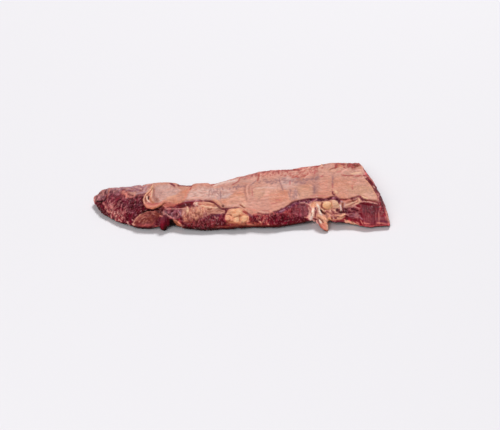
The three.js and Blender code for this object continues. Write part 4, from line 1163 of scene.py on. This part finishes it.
    Stroke(Ink.WINE, "374,190.4 375.2,192.2", 0.8, -0.4, 0.8),
    Stroke(Ink.WINE, "376.4,188 378.8,191.6", 1, -0.3, 0.8),
    Stroke(Ink.PINK, "376.2,193.4 378.4,194.6 378,198 379,202", 0.9, 0.2, 0.8),
    Stroke(Ink.WINE, "380,194 381.5,198 382.3,203 383,208 383.6,214", 0.9, -0.3),
    Stroke(Ink.PEACH, "368.6,176.4 374,182.4 378.4,187.6 381.6,192.2", 0.5, 0.2, 0.7),
    Stroke(Ink.PINK, "382.4,195 384.2,199 385.2,204 386,208.6", 0.7, 0.3, 0.8),
    Stroke(Ink.PEACH, "385.2,210 386.6,215 388.6,220 390.2,223", 0.7, 0.2, 0.7),
    Stroke(Ink.BROWN, "346.4,203 350.4,201.6 355,200.4 358,198.4", 0.7, -0.5, 0.7),
    Stroke(Ink.CREAM, "345,205.4 349,204.6 353,202.6 356.6,201.2", 0.5, 0.3, 0.7),
    Stroke(Ink.BROWN, "347,206.8 351,205.4 355,203.2", 0.5, -0.4, 0.5),
    Stroke(Ink.SALMON, "344.6,201.6 347,200.8 350.4,199.8", 0.9, 0.2, 0.7),
    Stroke(Ink.MAROON, "344.6,208.8 348,208.2 352,206.6", 0.6, -0.5, 0.6),
    Stroke(Ink.MAUVE, "364,206 363,212 364,218", 1.6, 0, 0.25),
    Stroke(Ink.MAUVE, "370.6,206 371.6,210 371,216", 1.3, 0, 0.2),
    Stroke(Ink.PINK, "378.6,210 379.4,214 380.4,219", 1, 0.2, 0.3),
    Stroke(Ink.SALMON, "363.6,222.6 366.6,223.6 370,224", 0.6, 0.2, 0.7),
    Stroke(Ink.SALMON, "376.4,222.8 381,223 386,223.4", 0.6, 0.2, 0.7),
    Stroke(Ink.BROWN, "206,211 209.6,212 213,211.4", 0.6, -0.3, 0.6),
    Stroke(Ink.BROWN, "216,211.6 219.4,210.4 223,211.6", 0.6, -0.3, 0.6),
    Stroke(Ink.TAN, "139,222 142,218.6 146,216.4", 0.6, 0.2, 0.5),
    Stroke(Ink.BROWN, "144,223 147,219 151,216", 0.6, -0.2, 0.6),
    Stroke(Ink.BROWN, "139.4,220.6 142,217.8 145.4,215.6", 0.6, -0.2, 0.6),
    Stroke(Ink.ROSE, "142,226 146,224.6 150,224.4", 0.6, 0.2, 0.6),
    Stroke(Ink.SALMON, "252,213.6 256,214.8 261,215", 0.8, 0.3, 0.6),
    Stroke(Ink.MAROON, "170.6,185.4 172.4,186.3 174.8,186.9", 0.8, -0.3, 0.9),
    Stroke(Ink.MAROON, "177.4,186.3 181,186.4 184.6,186.2", 0.6, -0.2, 0.6),
    Stroke(Ink.MAROON, "185.8,186 188.6,186.2 191.4,186", 0.8, -0.2, 0.8),
)  # fmt: skip

# All marks. The place of a mark in its list also seeds how it is frayed
REGIONS = (*HEAD_REGIONS, *SHEET_REGIONS, *FLANK_REGIONS)
STROKES = (*HEAD_STROKES, *SHEET_STROKES, *FLANK_STROKES)


@dataclass(frozen=True)
class Grain:
    """One noise field: its wave lengths in millimetres, its seed, its turn and its octaves."""

    wave: float | Triple
    seed: int
    turn: float = 0.0
    octaves: int = 3

    def over(self, points: np.ndarray) -> np.ndarray:
        """Value from about -1 to 1 at each point."""
        return Noise.cloud(turned(points, self.turn), self.wave, self.seed, self.octaves)


@dataclass
class Marks:
    """Where each kind of tissue, fold and crease lies on the mesh.

    The points are in millimetres, and the eye is the camera that the near side's marks are laid
    out for. Then come the slopes and heights at which a side counts as shown, and the noises
    that colour and relief share, with the values between which each sets in.
    """

    points: np.ndarray
    normals: np.ndarray
    eye: Eye
    region_seed: int = 300
    stroke_seed: int = 500
    above_slope: Point2 = (-0.45, -0.05)
    above_height: Point2 = (0.3, 1.6)
    front_slope: Point2 = (-0.3, -0.05)
    front_share: float = 0.5
    bundles: Grain = Grain((2.2, 7.0, 3.6), 101, -16.0)
    pale: Grain = Grain((1.5, 3.6, 2.4), 102, -16.0, 2)
    pale_onset: Point2 = (0.12, 0.5)
    pale_places: Grain = Grain(7.0, 103)
    pale_places_onset: Point2 = (-0.4, 0.25)
    shadows: Grain = Grain((1.9, 4.6, 3.0), 104, -16.0)
    shadow_onset: Point2 = (0.02, 0.45)
    mottling: Grain = Grain((2.6, 4.2, 3.4), 105, 26.0)
    patches: Grain = Grain((20.0, 26.0, 20.0), 107)
    specks: Grain = Grain((1.5, 1.9, 1.6), 108, 37.0, 1)
    knolls: Grain = Grain(6.5, 110)
    crease_seed: int = 106
    thread_seed: int = 116
    along_wave: Triple = (16.0, 2.8, 5.0)
    along_turn: float = 5.0
    across_wave: Triple = (1.8, 11.0, 5.0)
    across_turn: float = -10.0
    change_wave: float = 24.0
    fold_sharpness: float = 7.0
    fold_change: Point2 = (-0.15, 0.15)
    lobe_size: float = 4.0
    lobe_seed: int = 109

    def __post_init__(self) -> None:
        """Measures every region, stroke and grain."""
        self.places = {Seen.ABOVE: self.points[:, :2], Seen.FRONT: self.eye.front(self.points)}
        above = smooth(self.normals[:, 2], *self.above_slope)
        above *= smooth(self.points[:, 2], *self.above_height)
        front = smooth(self.eye.facing(self.points, self.normals), *self.front_slope)
        self.shown = {Seen.ABOVE: above, Seen.FRONT: front}
        self.regions = [
            (region, self._cover(region, region.seen, self.region_seed + k))
            for k, region in enumerate(REGIONS)
        ]
        self.strokes = [
            (stroke, self._cover(stroke, Seen.FRONT, self.stroke_seed + k))
            for k, stroke in enumerate(STROKES)
        ]
        self.sheet_gap = np.where(
            front > self.front_share,
            inside_distance(self.places[Seen.FRONT], corners_of(SHEET_FRONT)),
            inside_distance(self.places[Seen.ABOVE], corners_of(SHEET_ABOVE)),
        )
        self._tissues()
        self._grains()

    def _cover(self, mark: Region | Stroke | Flecks, seen: Seen, seed: int) -> np.ndarray:
        """Share of each point that a mark covers on the side that it is seen from."""
        return mark.cover(self.places[seen], self.points, seed) * self.shown[seen]

    def _tissues(self) -> None:
        """Shares out each point among the tissues: flesh, unless a region makes it another."""
        self.tissue = {kind: np.zeros(len(self.points)) for kind in Tissue}
        self.tissue[Tissue.FLESH] += 1.0
        for region, cover in self.regions:
            if region.tissue is not None:
                for kind in Tissue:
                    self.tissue[kind] *= 1.0 - cover
                self.tissue[region.tissue] += cover

    def _grains(self) -> None:
        """Works out the fibres, flecks, mottling and lobes that colour and relief share."""
        self.bundle = self.bundles.over(self.points)
        self.fleck = smooth(self.pale.over(self.points), *self.pale_onset)
        self.fleck *= smooth(self.pale_places.over(self.points), *self.pale_places_onset)
        self.dark = smooth(self.shadows.over(self.points), *self.shadow_onset)
        self.mottle = self.mottling.over(self.points)
        self.crease = self._folds(self.crease_seed)
        self.thread = self._folds(self.thread_seed)
        self.patch = self.patches.over(self.points)
        self.speck = self.specks.over(self.points)
        self.lobe, self.furrow = Noise.lobes(self.points, self.lobe_size, self.lobe_seed)
        self.knoll = self.knolls.over(self.points)

    def _folds(self, seed: int) -> np.ndarray:
        """Thin wavy lines that run along the steak in some places and across it in others.

        Args:
            seed: picks one set of lines among many.

        Returns:
            One share from 0 to 1 for each point.
        """
        along = Grain(self.along_wave, seed, self.along_turn).over(self.points)
        across = Grain(self.across_wave, seed + 1, self.across_turn).over(self.points)
        pick = Grain(self.change_wave, seed + 2).over(self.points)
        pick = smooth(pick, *self.fold_change)
        along = smooth(1.0 - self.fold_sharpness * np.abs(along), 0.0, 1.0)
        across = smooth(1.0 - self.fold_sharpness * np.abs(across), 0.0, 1.0)
        return along * pick + across * (1.0 - pick)


@dataclass
class Relief:
    """Heights in millimetres by which sheet, fibres, lobes, knolls and folds stand out."""

    marks: Marks
    sheet_rise: float = 0.45
    knoll: float = 0.7
    fibre_bundle: float = 0.45
    fibre_fleck: float = 0.35
    fibre_groove: float = 0.3
    flesh_speck: float = 0.12
    sheet_mottle: float = 0.07
    sheet_thread: float = 0.05
    sheet_crease: float = 0.07
    sheet_speck: float = 0.05
    fat_mound: float = 0.5
    fat_furrow: float = 0.3
    fat_lobe: float = 0.25
    fat_speck: float = 0.1
    lump_mottle: float = 0.12
    lump_speck: float = 0.08
    sheet_edge: Point2 = (-0.4, 0.6)
    flank_slope: Point2 = (0.15, 0.6)
    mound_edge: Point2 = (0.0, 0.4)
    floor_reach: Point2 = (0.1, 1.5)

    def texture(self) -> np.ndarray:
        """Fibres, flecks, wrinkles and lobes.

        Returns:
            One height in millimetres for each vertex.
        """
        m = self.marks
        flesh = self.fibre_bundle * m.bundle + self.fibre_fleck * m.fleck
        flesh += self.flesh_speck * m.speck - self.fibre_groove * m.dark
        sheet = self.sheet_mottle * m.mottle + self.sheet_thread * m.thread
        sheet += self.sheet_speck * m.speck - self.sheet_crease * m.crease
        fat = self.fat_mound * smooth(m.furrow, *self.mound_edge) - self.fat_furrow
        fat += self.fat_speck * m.speck - self.fat_lobe * m.lobe
        lump = self.lump_mottle * m.mottle + self.lump_speck * m.speck
        heights = (flesh, sheet, fat, lump)
        return sum(m.tissue[kind] * height for kind, height in zip(Tissue, heights))

    def raised(self) -> np.ndarray:
        """Raises the vertices by all of the relief, which fades out near the floor.

        Returns:
            New vertex places.
        """
        m = self.marks
        rise = self.sheet_rise * smooth(m.sheet_gap, *self.sheet_edge) * m.shown[Seen.ABOVE]
        rise += self.texture()
        rise += self.knoll * m.knoll * smooth(np.abs(m.normals[:, 1]), *self.flank_slope)
        for region in REGIONS:
            if region.bulge:
                rise += region.dome(m.places[region.seen]) * m.shown[region.seen]
        for stroke, cover in m.strokes:
            rise += stroke.height * cover
        rise *= smooth(m.points[:, 2], *self.floor_reach)
        return m.points + m.normals * rise[:, None]


@dataclass(frozen=True)
class Light:
    """Rough light that reaches each side, to turn display values into surface colours."""

    around: float = 0.71
    above: float = 0.16
    key: float = 0.30
    glare: float = 0.009
    darkest: float = 0.002
    brightest: float = 0.95
    tint: Triple = (0.99, 1.01, 1.05)

    def surface(self, colours: np.ndarray, normals: np.ndarray) -> np.ndarray:
        """Surface colours that look like the given display values in this light.

        Args:
            colours: display values from 0 to 255.
            normals: unit normals.

        Returns:
            Linear colours, one row for each normal.
        """
        toward = np.clip(normals @ (np.array(KEY_PLACE) / np.linalg.norm(KEY_PLACE)), 0.0, 1.0)
        light = self.around + self.above * normals[:, 2] + self.key * toward
        shown = np.maximum(linear(colours) - self.glare, self.darkest)
        shown /= light[:, None] * self.tint
        return shown * np.minimum(1.0, self.brightest / shown.max(1))[:, None]


@dataclass
class Paint:
    """Colours, with painted light and shade, and tissue masks laid over the mesh, with the share of
    each fine colour.
    """

    marks: Marks
    relief: Relief
    red_patches: Grain = Grain(16.0, 241)
    red_onset: Point2 = (-0.1, 0.4)
    film_patches: Grain = Grain(24.0, 242)
    film_onset: Point2 = (-0.3, 0.15)
    film_share: float = 0.85
    bundle_shade: float = 0.24
    flesh_speck_shade: float = 0.14
    groove_shade_share: float = 0.45
    fleck_share: float = 0.2
    patch_share: float = 0.3
    patch_onset: Point2 = (0.0, 0.4)
    mottle_shade: float = 0.04
    sheet_speck_shade: float = 0.03
    thread_highlight_share: float = 0.2
    crease_tone_and_shade: float = 0.14
    crown_tone_and_highlight: float = 0.3
    lobe_edge: Point2 = (0.1, 0.5)
    lobe_crown: Point2 = (-0.7, -0.1)
    furrow_tone_and_shade: float = 0.3
    furrow_edge: Point2 = (0.0, 0.16)
    painted_relief_shading: float = 0.45
    painted_floor_shadow: float = 0.6
    floor_reach: Point2 = (0.2, 4.0)
    colour: np.ndarray = field(init=False)

    def _mix(self, ink: Ink, share: np.ndarray) -> None:
        """Mixes an ink in by a share for each vertex."""
        share = np.clip(share, 0.0, 1.0)[:, None]
        self.colour = self.colour * (1.0 - share) + np.asarray(ink.value, float) * share

    def _scale(self, factor: np.ndarray) -> None:
        """Lightens or darkens the colours by a factor for each vertex."""
        self.colour = self.colour * factor[:, None]

    def lay(self, mesh: bpy.types.Mesh, light: Light) -> None:
        """Works out the colours and writes them and the tissue masks to the mesh.

        Args:
            mesh: the steak's mesh.
            light: the light that the display values were seen in.
        """
        normals = self.marks.normals
        self.colour = np.tile(np.asarray(Ink.MAROON.value, float), (len(normals), 1))
        self._underside()
        for region, cover in self.marks.regions:
            self._mix(region.ink, cover)
        self._flesh()
        self._sheet()
        self._fat()
        # painted shade and light: the relief's lows darker and its highs lighter
        self._scale(1.0 + self.painted_relief_shading * self.relief.texture())
        for stroke, cover in self.marks.strokes:
            self._mix(stroke.ink, cover * stroke.strength)
        # painted shade: darker towards the floor, where the contact shadow falls
        floor_shadow_share = 1.0 - smooth(self.marks.points[:, 2], *self.floor_reach)
        self._scale(1.0 - self.painted_floor_shadow * floor_shadow_share)
        rgba = np.ones((len(normals), 4), np.float32)
        rgba[:, :3] = light.surface(self.colour, normals)
        layer = mesh.color_attributes.new("tint", "FLOAT_COLOR", "POINT")
        layer.data.foreach_set("color", rgba.ravel())
        for kind in Tissue:
            mask = mesh.attributes.new(kind.value, "FLOAT", "POINT")
            mask.data.foreach_set("value", self.marks.tissue[kind].astype(np.float32))

    def _underside(self) -> None:
        """Red patches all over, and tan film on the far flank and the underside."""
        p = self.marks.points
        self._mix(Ink.RED, smooth(self.red_patches.over(p), *self.red_onset))
        low = 1.0 - self.marks.shown[Seen.ABOVE]
        film = smooth(self.film_patches.over(p), *self.film_onset)
        self._mix(Ink.OCHRE, self.film_share * low * film)

    def _flesh(self) -> None:
        """Dark bundles, painted shade in the grooves and pale flecks of the bare muscle."""
        m = self.marks
        flesh = m.tissue[Tissue.FLESH]
        shade = self.bundle_shade * m.bundle + self.flesh_speck_shade * m.speck
        self._scale(1.0 + flesh * shade)
        # painted shade in the fibre grooves, which the relief also lowers
        self._mix(Ink.WINE, self.groove_shade_share * flesh * m.dark)
        self._mix(Ink.PINK, self.fleck_share * flesh * m.fleck)

    def _sheet(self) -> None:
        """Mottling and specks of the silverskin, painted highlight on its threads, and its creases
        darker as tone and painted shade.
        """
        m = self.marks
        sheet = m.tissue[Tissue.SHEET]
        self._mix(Ink.GREY, self.patch_share * sheet * smooth(m.patch, *self.patch_onset))
        self._mix(Ink.ORANGE, self.patch_share * sheet * smooth(-m.patch, *self.patch_onset))
        self._scale(1.0 + sheet * (self.mottle_shade * m.mottle + self.sheet_speck_shade * m.speck))
        # painted highlight along the raised threads
        self._mix(Ink.BLUSH, self.thread_highlight_share * sheet * m.thread)
        # the creases' own darker tone, and painted shade in them
        self._mix(Ink.DUSK, self.crease_tone_and_shade * sheet * m.crease)

    def _fat(self) -> None:
        """Lobes cream at their crowns and tan in their furrows, as the fat's own tones and painted
        highlight and shade.
        """
        m = self.marks
        fat = m.tissue[Tissue.FAT]
        crown = smooth(m.furrow, *self.lobe_edge) * smooth(-m.lobe, *self.lobe_crown)
        # the fat's own cream, with painted highlight on the raised lobe crowns
        self._mix(Ink.CREAM, self.crown_tone_and_highlight * fat * crown)
        groove = 1.0 - smooth(m.furrow, *self.furrow_edge)
        # the fat's own tan, with painted shade in the furrows
        self._mix(Ink.OCHRE, self.furrow_tone_and_shade * fat * groove)


@dataclass
class SteakMesh:
    """The steak's mesh: the CAD solid resurfaced, with its relief and its painted colours."""

    eye: Eye
    light: Light
    voxel: float = 0.52
    squash: float = 0.6
    smoothing: int = 14
    smoothing_shares: Point2 = (0.5, -0.52)
    limit: int = 196_000
    flat_height: float = 0.6
    flat_slope: float = -0.8
    away_slope: float = -0.1
    away_thinning: float = 0.1
    flat_thinning: float = 1.0
    thinning_factor: float = 100.0

    def build(self) -> bpy.types.Object:
        """Makes the piece that stands for the CAD node.

        Returns:
            The finished mesh object, without its material.
        """
        obj = self._resurface()
        self._soften(obj)
        self._thin(obj)
        marks = Marks(*self._read(obj), self.eye)
        relief = Relief(marks)
        Paint(marks, relief).lay(obj.data, self.light)
        self._write(obj, relief.raised())
        obj.data.polygons.foreach_set("use_smooth", [True] * len(obj.data.polygons))
        return obj

    def _resurface(self) -> bpy.types.Object:
        """Copies the CAD solid and remeshes it, with longer steps along Y than along X and Z.

        Returns:
            The new object.
        """
        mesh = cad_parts[NODE].data.copy()
        obj = bpy.data.objects.new("steak", mesh)
        bpy.context.scene.collection.objects.link(obj)
        mesh.transform(Matrix.Diagonal((1.0, self.squash, 1.0, 1.0)))
        remesh = obj.modifiers.new("even", "REMESH")
        remesh.mode = "VOXEL"
        remesh.voxel_size = self.voxel * MM
        self._apply(obj)
        obj.data.transform(Matrix.Diagonal((1.0, 1.0 / self.squash, 1.0, 1.0)))
        return obj

    @staticmethod
    def _apply(obj: bpy.types.Object) -> None:
        """Replaces the object's mesh by its evaluated one and drops the modifiers.

        Args:
            obj: the mesh object.
        """
        graph = bpy.context.evaluated_depsgraph_get()
        made = bpy.data.meshes.new_from_object(obj.evaluated_get(graph))
        obj.modifiers.clear()
        obj.data = made
        obj.data.name = obj.name

    def _soften(self, obj: bpy.types.Object) -> None:
        """Evens out the solid's flat facets by averaging neighbours, in turn in and out.

        Args:
            obj: the mesh object.
        """
        mesh = obj.data
        count = len(mesh.vertices)
        edges = np.empty(len(mesh.edges) * 2, np.int64)
        mesh.edges.foreach_get("vertices", edges)
        a, b = edges.reshape(-1, 2).T
        degree = np.bincount(a, minlength=count) + np.bincount(b, minlength=count)
        co = self._numbers(mesh.vertices, "co").astype(float)
        for share in self.smoothing_shares * self.smoothing:
            total = np.stack(
                [
                    np.bincount(a, co[b, k], count) + np.bincount(b, co[a, k], count)
                    for k in range(3)
                ],
                axis=1,
            )
            co += share * (total / degree[:, None] - co)
        mesh.vertices.foreach_set("co", co.astype(np.float32).ravel())
        mesh.update()

    def _thin(self, obj: bpy.types.Object) -> None:
        """Thins out the flat underside and the far side, to spend the faces on the near side.

        Args:
            obj: the mesh object.
        """
        points, normals = self._read(obj)
        flat = (points[:, 2] < self.flat_height) & (normals[:, 2] < self.flat_slope)
        away = self.eye.facing(points, normals) < self.away_slope
        group = obj.vertex_groups.new(name="plain")
        group.add(np.nonzero(away & ~flat)[0].tolist(), self.away_thinning, "REPLACE")
        group.add(np.nonzero(flat)[0].tolist(), self.flat_thinning, "REPLACE")
        thin = obj.modifiers.new("thin", "DECIMATE")
        thin.vertex_group = group.name
        thin.vertex_group_factor = self.thinning_factor
        thin.ratio = self.limit / (2 * len(obj.data.polygons))
        self._apply(obj)
        count = sum(len(f.vertices) - 2 for f in obj.data.polygons)
        LOG.info("steak mesh: %d triangles", count)

    @staticmethod
    def _numbers(rows: bpy.types.bpy_prop_collection, name: str) -> np.ndarray:
        """Vector property of each vertex of a mesh.

        Args:
            rows: the mesh's vertices or their normals.
            name: the property's name.

        Returns:
            One row of three for each vertex.
        """
        values = np.empty(len(rows) * 3, np.float32)
        rows.foreach_get(name, values)
        return values.reshape(-1, 3)

    @classmethod
    def _read(cls, obj: bpy.types.Object) -> tuple[np.ndarray, np.ndarray]:
        """Vertex places in the steak's own millimetres, and vertex normals."""
        places = cls._numbers(obj.data.vertices, "co") / MM - ORIGIN_MM
        return places, cls._numbers(obj.data.vertex_normals, "vector").astype(float)

    @staticmethod
    def _write(obj: bpy.types.Object, points: np.ndarray) -> None:
        """Moves the vertices, none of them below the floor.

        Args:
            obj: the mesh object.
            points: new places in the steak's own millimetres.
        """
        co = (points + ORIGIN_MM) * MM
        co[:, 2] = np.maximum(co[:, 2], 0.0)
        obj.data.vertices.foreach_set("co", co.astype(np.float32).ravel())
        obj.data.update()


class Waves(NamedTuple):
    """Noise of a finish: waves for each metre, share of that along each axis, turn and octaves."""

    scale: float
    stretch: Triple
    turn: float
    octaves: float


class Span(NamedTuple):
    """Two ends of a range and the values that they become."""

    low: float
    high: float
    to_low: float
    to_high: float


@dataclass(frozen=True)
class MeatFinish:
    """Moist meat: painted colour with fine fibres, soft light inside and a wet gloss."""

    fibres: Waves = Waves(700.0, (1.0, 0.3, 0.5), -16.0, 4.0)
    grain: Waves = Waves(950.0, (0.25, 1.0, 0.8), 6.0, 4.0)
    flecks: Waves = Waves(800.0, (1.0, 0.5, 0.7), -30.0, 1.0)
    drops: Waves = Waves(420.0, (1.0, 0.6, 0.8), 0.0, 2.0)
    fibre_shade: Span = Span(0.3, 0.7, 0.66, 1.34)
    grain_shade: Span = Span(0.3, 0.7, 0.86, 1.14)
    fleck_share: Span = Span(0.55, 0.7, 0.0, 0.5)
    wetness: Span = Span(0.58, 0.68, 0.0, 0.1)
    roughness: Span = Span(0.3, 0.7, 0.42, 0.62)
    fleck_colour: tuple[float, float, float, float] = (0.5, 0.19, 0.19, 1.0)
    inner_light: float = 0.08
    inner_radius: Triple = (1.0, 0.35, 0.22)
    inner_depth: float = 0.0012
    gloss: float = 0.06
    film_roughness: float = 0.22
    bump_strength: float = 0.5
    bump_depth: float = 0.0006

    def make(self) -> bpy.types.Material:
        """Builds the node material.

        Returns:
            The material.
        """
        material = bpy.data.materials.new("moist_meat")
        material.use_nodes = True
        tree = material.node_tree
        tree.nodes.clear()
        out = tree.nodes.new("ShaderNodeOutputMaterial")
        skin = tree.nodes.new("ShaderNodeBsdfPrincipled")
        tree.links.new(skin.outputs["BSDF"], out.inputs["Surface"])
        for socket, value in {
            "Subsurface Weight": self.inner_light,
            "Subsurface Radius": self.inner_radius,
            "Subsurface Scale": self.inner_depth,
            "Specular IOR Level": self.gloss,
            "Coat Roughness": self.film_roughness,
        }.items():
            skin.inputs[socket].default_value = value
        flesh = self._attribute(tree, Tissue.FLESH.value, "Fac")
        grain = self._noise(tree, self.grain)
        fine = self._map(tree, grain, self.grain_shade)
        fibres = self._map(tree, self._noise(tree, self.fibres), self.fibre_shade)
        light = self._mix(tree, flesh, fine, self._product(tree, fibres, fine))
        shade = tree.nodes.new("ShaderNodeVectorMath")
        shade.operation = "SCALE"
        tree.links.new(self._attribute(tree, "tint", "Color"), shade.inputs[0])
        tree.links.new(light, shade.inputs["Scale"])
        flecks = self._map(tree, self._noise(tree, self.flecks), self.fleck_share)
        share = self._product(tree, flecks, flesh)
        colour = self._mix(tree, share, shade.outputs[0], self.fleck_colour)
        tree.links.new(colour, skin.inputs["Base Color"])
        wet = self._map(tree, self._noise(tree, self.drops), self.wetness)
        tree.links.new(wet, skin.inputs["Coat Weight"])
        tree.links.new(self._map(tree, grain, self.roughness), skin.inputs["Roughness"])
        bump = tree.nodes.new("ShaderNodeBump")
        bump.inputs["Strength"].default_value = self.bump_strength
        bump.inputs["Distance"].default_value = self.bump_depth
        tree.links.new(light, bump.inputs["Height"])
        tree.links.new(bump.outputs["Normal"], skin.inputs["Normal"])
        return material

    @staticmethod
    def _attribute(tree: bpy.types.NodeTree, name: str, output: str) -> bpy.types.NodeSocket:
        """Painted attribute of the mesh.

        Args:
            tree: the material's node tree.
            name: the attribute's name.
            output: which output to take it from.

        Returns:
            The output.
        """
        node = tree.nodes.new("ShaderNodeAttribute")
        node.attribute_name = name
        return node.outputs[output]

    @staticmethod
    def _noise(tree: bpy.types.NodeTree, waves: Waves) -> bpy.types.NodeSocket:
        """Noise in the object's own coordinates, stretched along a turned axis.

        Args:
            tree: the material's node tree.
            waves: how long and how detailed the waves are, and how they are turned about Z.

        Returns:
            The noise's output.
        """
        place = tree.nodes.new("ShaderNodeTexCoord")
        mapping = tree.nodes.new("ShaderNodeMapping")
        mapping.vector_type = "TEXTURE"
        mapping.inputs["Rotation"].default_value = (0.0, 0.0, math.radians(waves.turn))
        mapping.inputs["Scale"].default_value = tuple(1.0 / s for s in waves.stretch)
        noise = tree.nodes.new("ShaderNodeTexNoise")
        noise.inputs["Scale"].default_value = waves.scale
        noise.inputs["Detail"].default_value = waves.octaves
        tree.links.new(place.outputs["Object"], mapping.inputs["Vector"])
        tree.links.new(mapping.outputs["Vector"], noise.inputs["Vector"])
        return noise.outputs["Fac"]

    @staticmethod
    def _map(
        tree: bpy.types.NodeTree, source: bpy.types.NodeSocket, span: Span
    ) -> bpy.types.NodeSocket:
        """Number whose range is moved and held between two values.

        Args:
            tree: the material's node tree.
            source: the number.
            span: the range and what it becomes.

        Returns:
            The moved number.
        """
        node = tree.nodes.new("ShaderNodeMapRange")
        for name, value in zip(("From Min", "From Max", "To Min", "To Max"), span):
            node.inputs[name].default_value = value
        tree.links.new(source, node.inputs["Value"])
        return node.outputs["Result"]

    @staticmethod
    def _product(
        tree: bpy.types.NodeTree, a: bpy.types.NodeSocket, b: bpy.types.NodeSocket
    ) -> bpy.types.NodeSocket:
        """Product of two numbers.

        Args:
            tree: the material's node tree.
            a: the first number.
            b: the second number.

        Returns:
            The product.
        """
        node = tree.nodes.new("ShaderNodeMath")
        node.operation = "MULTIPLY"
        for socket, source in zip(node.inputs, (a, b)):
            tree.links.new(source, socket)
        return node.outputs[0]

    @staticmethod
    def _mix(
        tree: bpy.types.NodeTree,
        share: bpy.types.NodeSocket,
        a: bpy.types.NodeSocket,
        b: bpy.types.NodeSocket | tuple[float, ...],
    ) -> bpy.types.NodeSocket:
        """Number or colour that goes from a to b as share goes from 0 to 1.

        Args:
            tree: the material's node tree.
            share: how much of b there is.
            a: the first number or colour.
            b: the second number, or one plain colour.

        Returns:
            The mix.
        """
        node = tree.nodes.new("ShaderNodeMix")
        plain = isinstance(b, tuple)
        node.data_type = "RGBA" if plain else "FLOAT"
        factor, first, second = (s for s in node.inputs if s.enabled)
        tree.links.new(share, factor)
        tree.links.new(a, first)
        if plain:
            second.default_value = b
        else:
            tree.links.new(b, second)
        return next(s for s in node.outputs if s.enabled)


@dataclass(frozen=True)
class Studio:
    """Pale floor, soft light from above and behind, and the camera at the photo's angle."""

    eye: Eye
    floor_size: float = 8.0
    floor_colour: tuple[float, float, float, float] = (0.80, 0.787, 0.815, 1.0)
    floor_roughness: float = 0.8
    floor_gloss: float = 0.2
    sensor: float = 36.0
    clip: Point2 = (0.05, 50.0)
    sky: float = 0.225
    sky_colour: tuple[float, float, float, float] = (1.0, 0.985, 0.99, 1.0)
    key_size: float = 1.4
    key_power: float = 205.0
    fill_place: Triple = (-0.9, -2.2, 1.7)
    fill_size: float = 1.6
    fill_power: float = 40.0

    def build(self) -> None:
        """Makes the floor, the lights and the camera."""
        self._floor()
        self._lights()
        self._camera()

    def _floor(self) -> None:
        """Large pale plane under the steak, which is scenery and no piece of it."""
        half = self.floor_size / 2
        mesh = bpy.data.meshes.new("floor")
        ring = [(-half, -half, 0), (half, -half, 0), (half, half, 0), (-half, half, 0)]
        mesh.from_pydata(ring, [], [(0, 1, 2, 3)])
        floor = bpy.data.objects.new("floor", mesh)
        bpy.context.scene.collection.objects.link(floor)
        material = bpy.data.materials.new("pale_floor")
        material.use_nodes = True
        paint = material.node_tree.nodes["Principled BSDF"]
        paint.inputs["Base Color"].default_value = self.floor_colour
        paint.inputs["Roughness"].default_value = self.floor_roughness
        paint.inputs["Specular IOR Level"].default_value = self.floor_gloss
        floor.data.materials.append(material)

    def _lights(self) -> None:
        """Soft sky, a large key behind and above, and a weak fill at the front."""
        scene = bpy.context.scene
        world = bpy.data.worlds.new("sky")
        world.use_nodes = True
        sky = world.node_tree.nodes["Background"]
        sky.inputs["Color"].default_value = self.sky_colour
        sky.inputs["Strength"].default_value = self.sky
        scene.world = world
        self._area("key", KEY_PLACE, self.key_size, self.key_power)
        self._area("fill", self.fill_place, self.fill_size, self.fill_power)
        scene.view_settings.view_transform = "Standard"

    @staticmethod
    def _area(name: str, place: Triple, size: float, power: float) -> None:
        """Square light aimed at the middle of the steak.

        Args:
            name: the light's name.
            place: where it stands, in metres.
            size: length of a side, in metres.
            power: in watts.
        """
        data = bpy.data.lights.new(name, "AREA")
        data.size = size
        data.energy = power
        light = bpy.data.objects.new(name, data)
        light.location = place
        light.rotation_mode = "QUATERNION"
        light.rotation_quaternion = (-Vector(place)).to_track_quat("-Z", "Y")
        bpy.context.scene.collection.objects.link(light)

    def _camera(self) -> None:
        """Camera at the place and angle fitted to the photo."""
        data = bpy.data.cameras.new("camera")
        data.sensor_width = self.sensor
        data.lens = self.eye.zoom * self.sensor / (2.0 * self.eye.centre[0])
        data.clip_start, data.clip_end = self.clip
        camera = bpy.data.objects.new("camera", data)
        right, up, forward = (Vector(axis) for axis in self.eye.axes())
        turn = Matrix((right, up, -forward)).transposed().to_4x4()
        place = Vector((np.array(self.eye.place) + ORIGIN_MM) * MM)
        camera.matrix_world = Matrix.Translation(place) @ turn
        bpy.context.scene.collection.objects.link(camera)
        bpy.context.scene.camera = camera


def corners(box: tuple[Triple, Triple]) -> list[list[float]]:
    """Lowest and highest corner of a box as plain lists."""
    return [[float(v) for v in corner] for corner in box]


def main() -> None:
    """Builds the steak and the studio."""
    logging.basicConfig(level=logging.INFO, format="%(name)s: %(message)s")
    eye = Eye()
    steak = SteakMesh(eye, Light()).build()
    steak.data.materials.clear()
    steak.data.materials.append(MeatFinish().make())
    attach(steak, "root")
    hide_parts(NODE)
    LOG.info("steak: %d vertices", len(steak.data.vertices))
    Studio(eye).build()


if __name__ == "__main__":
    main()
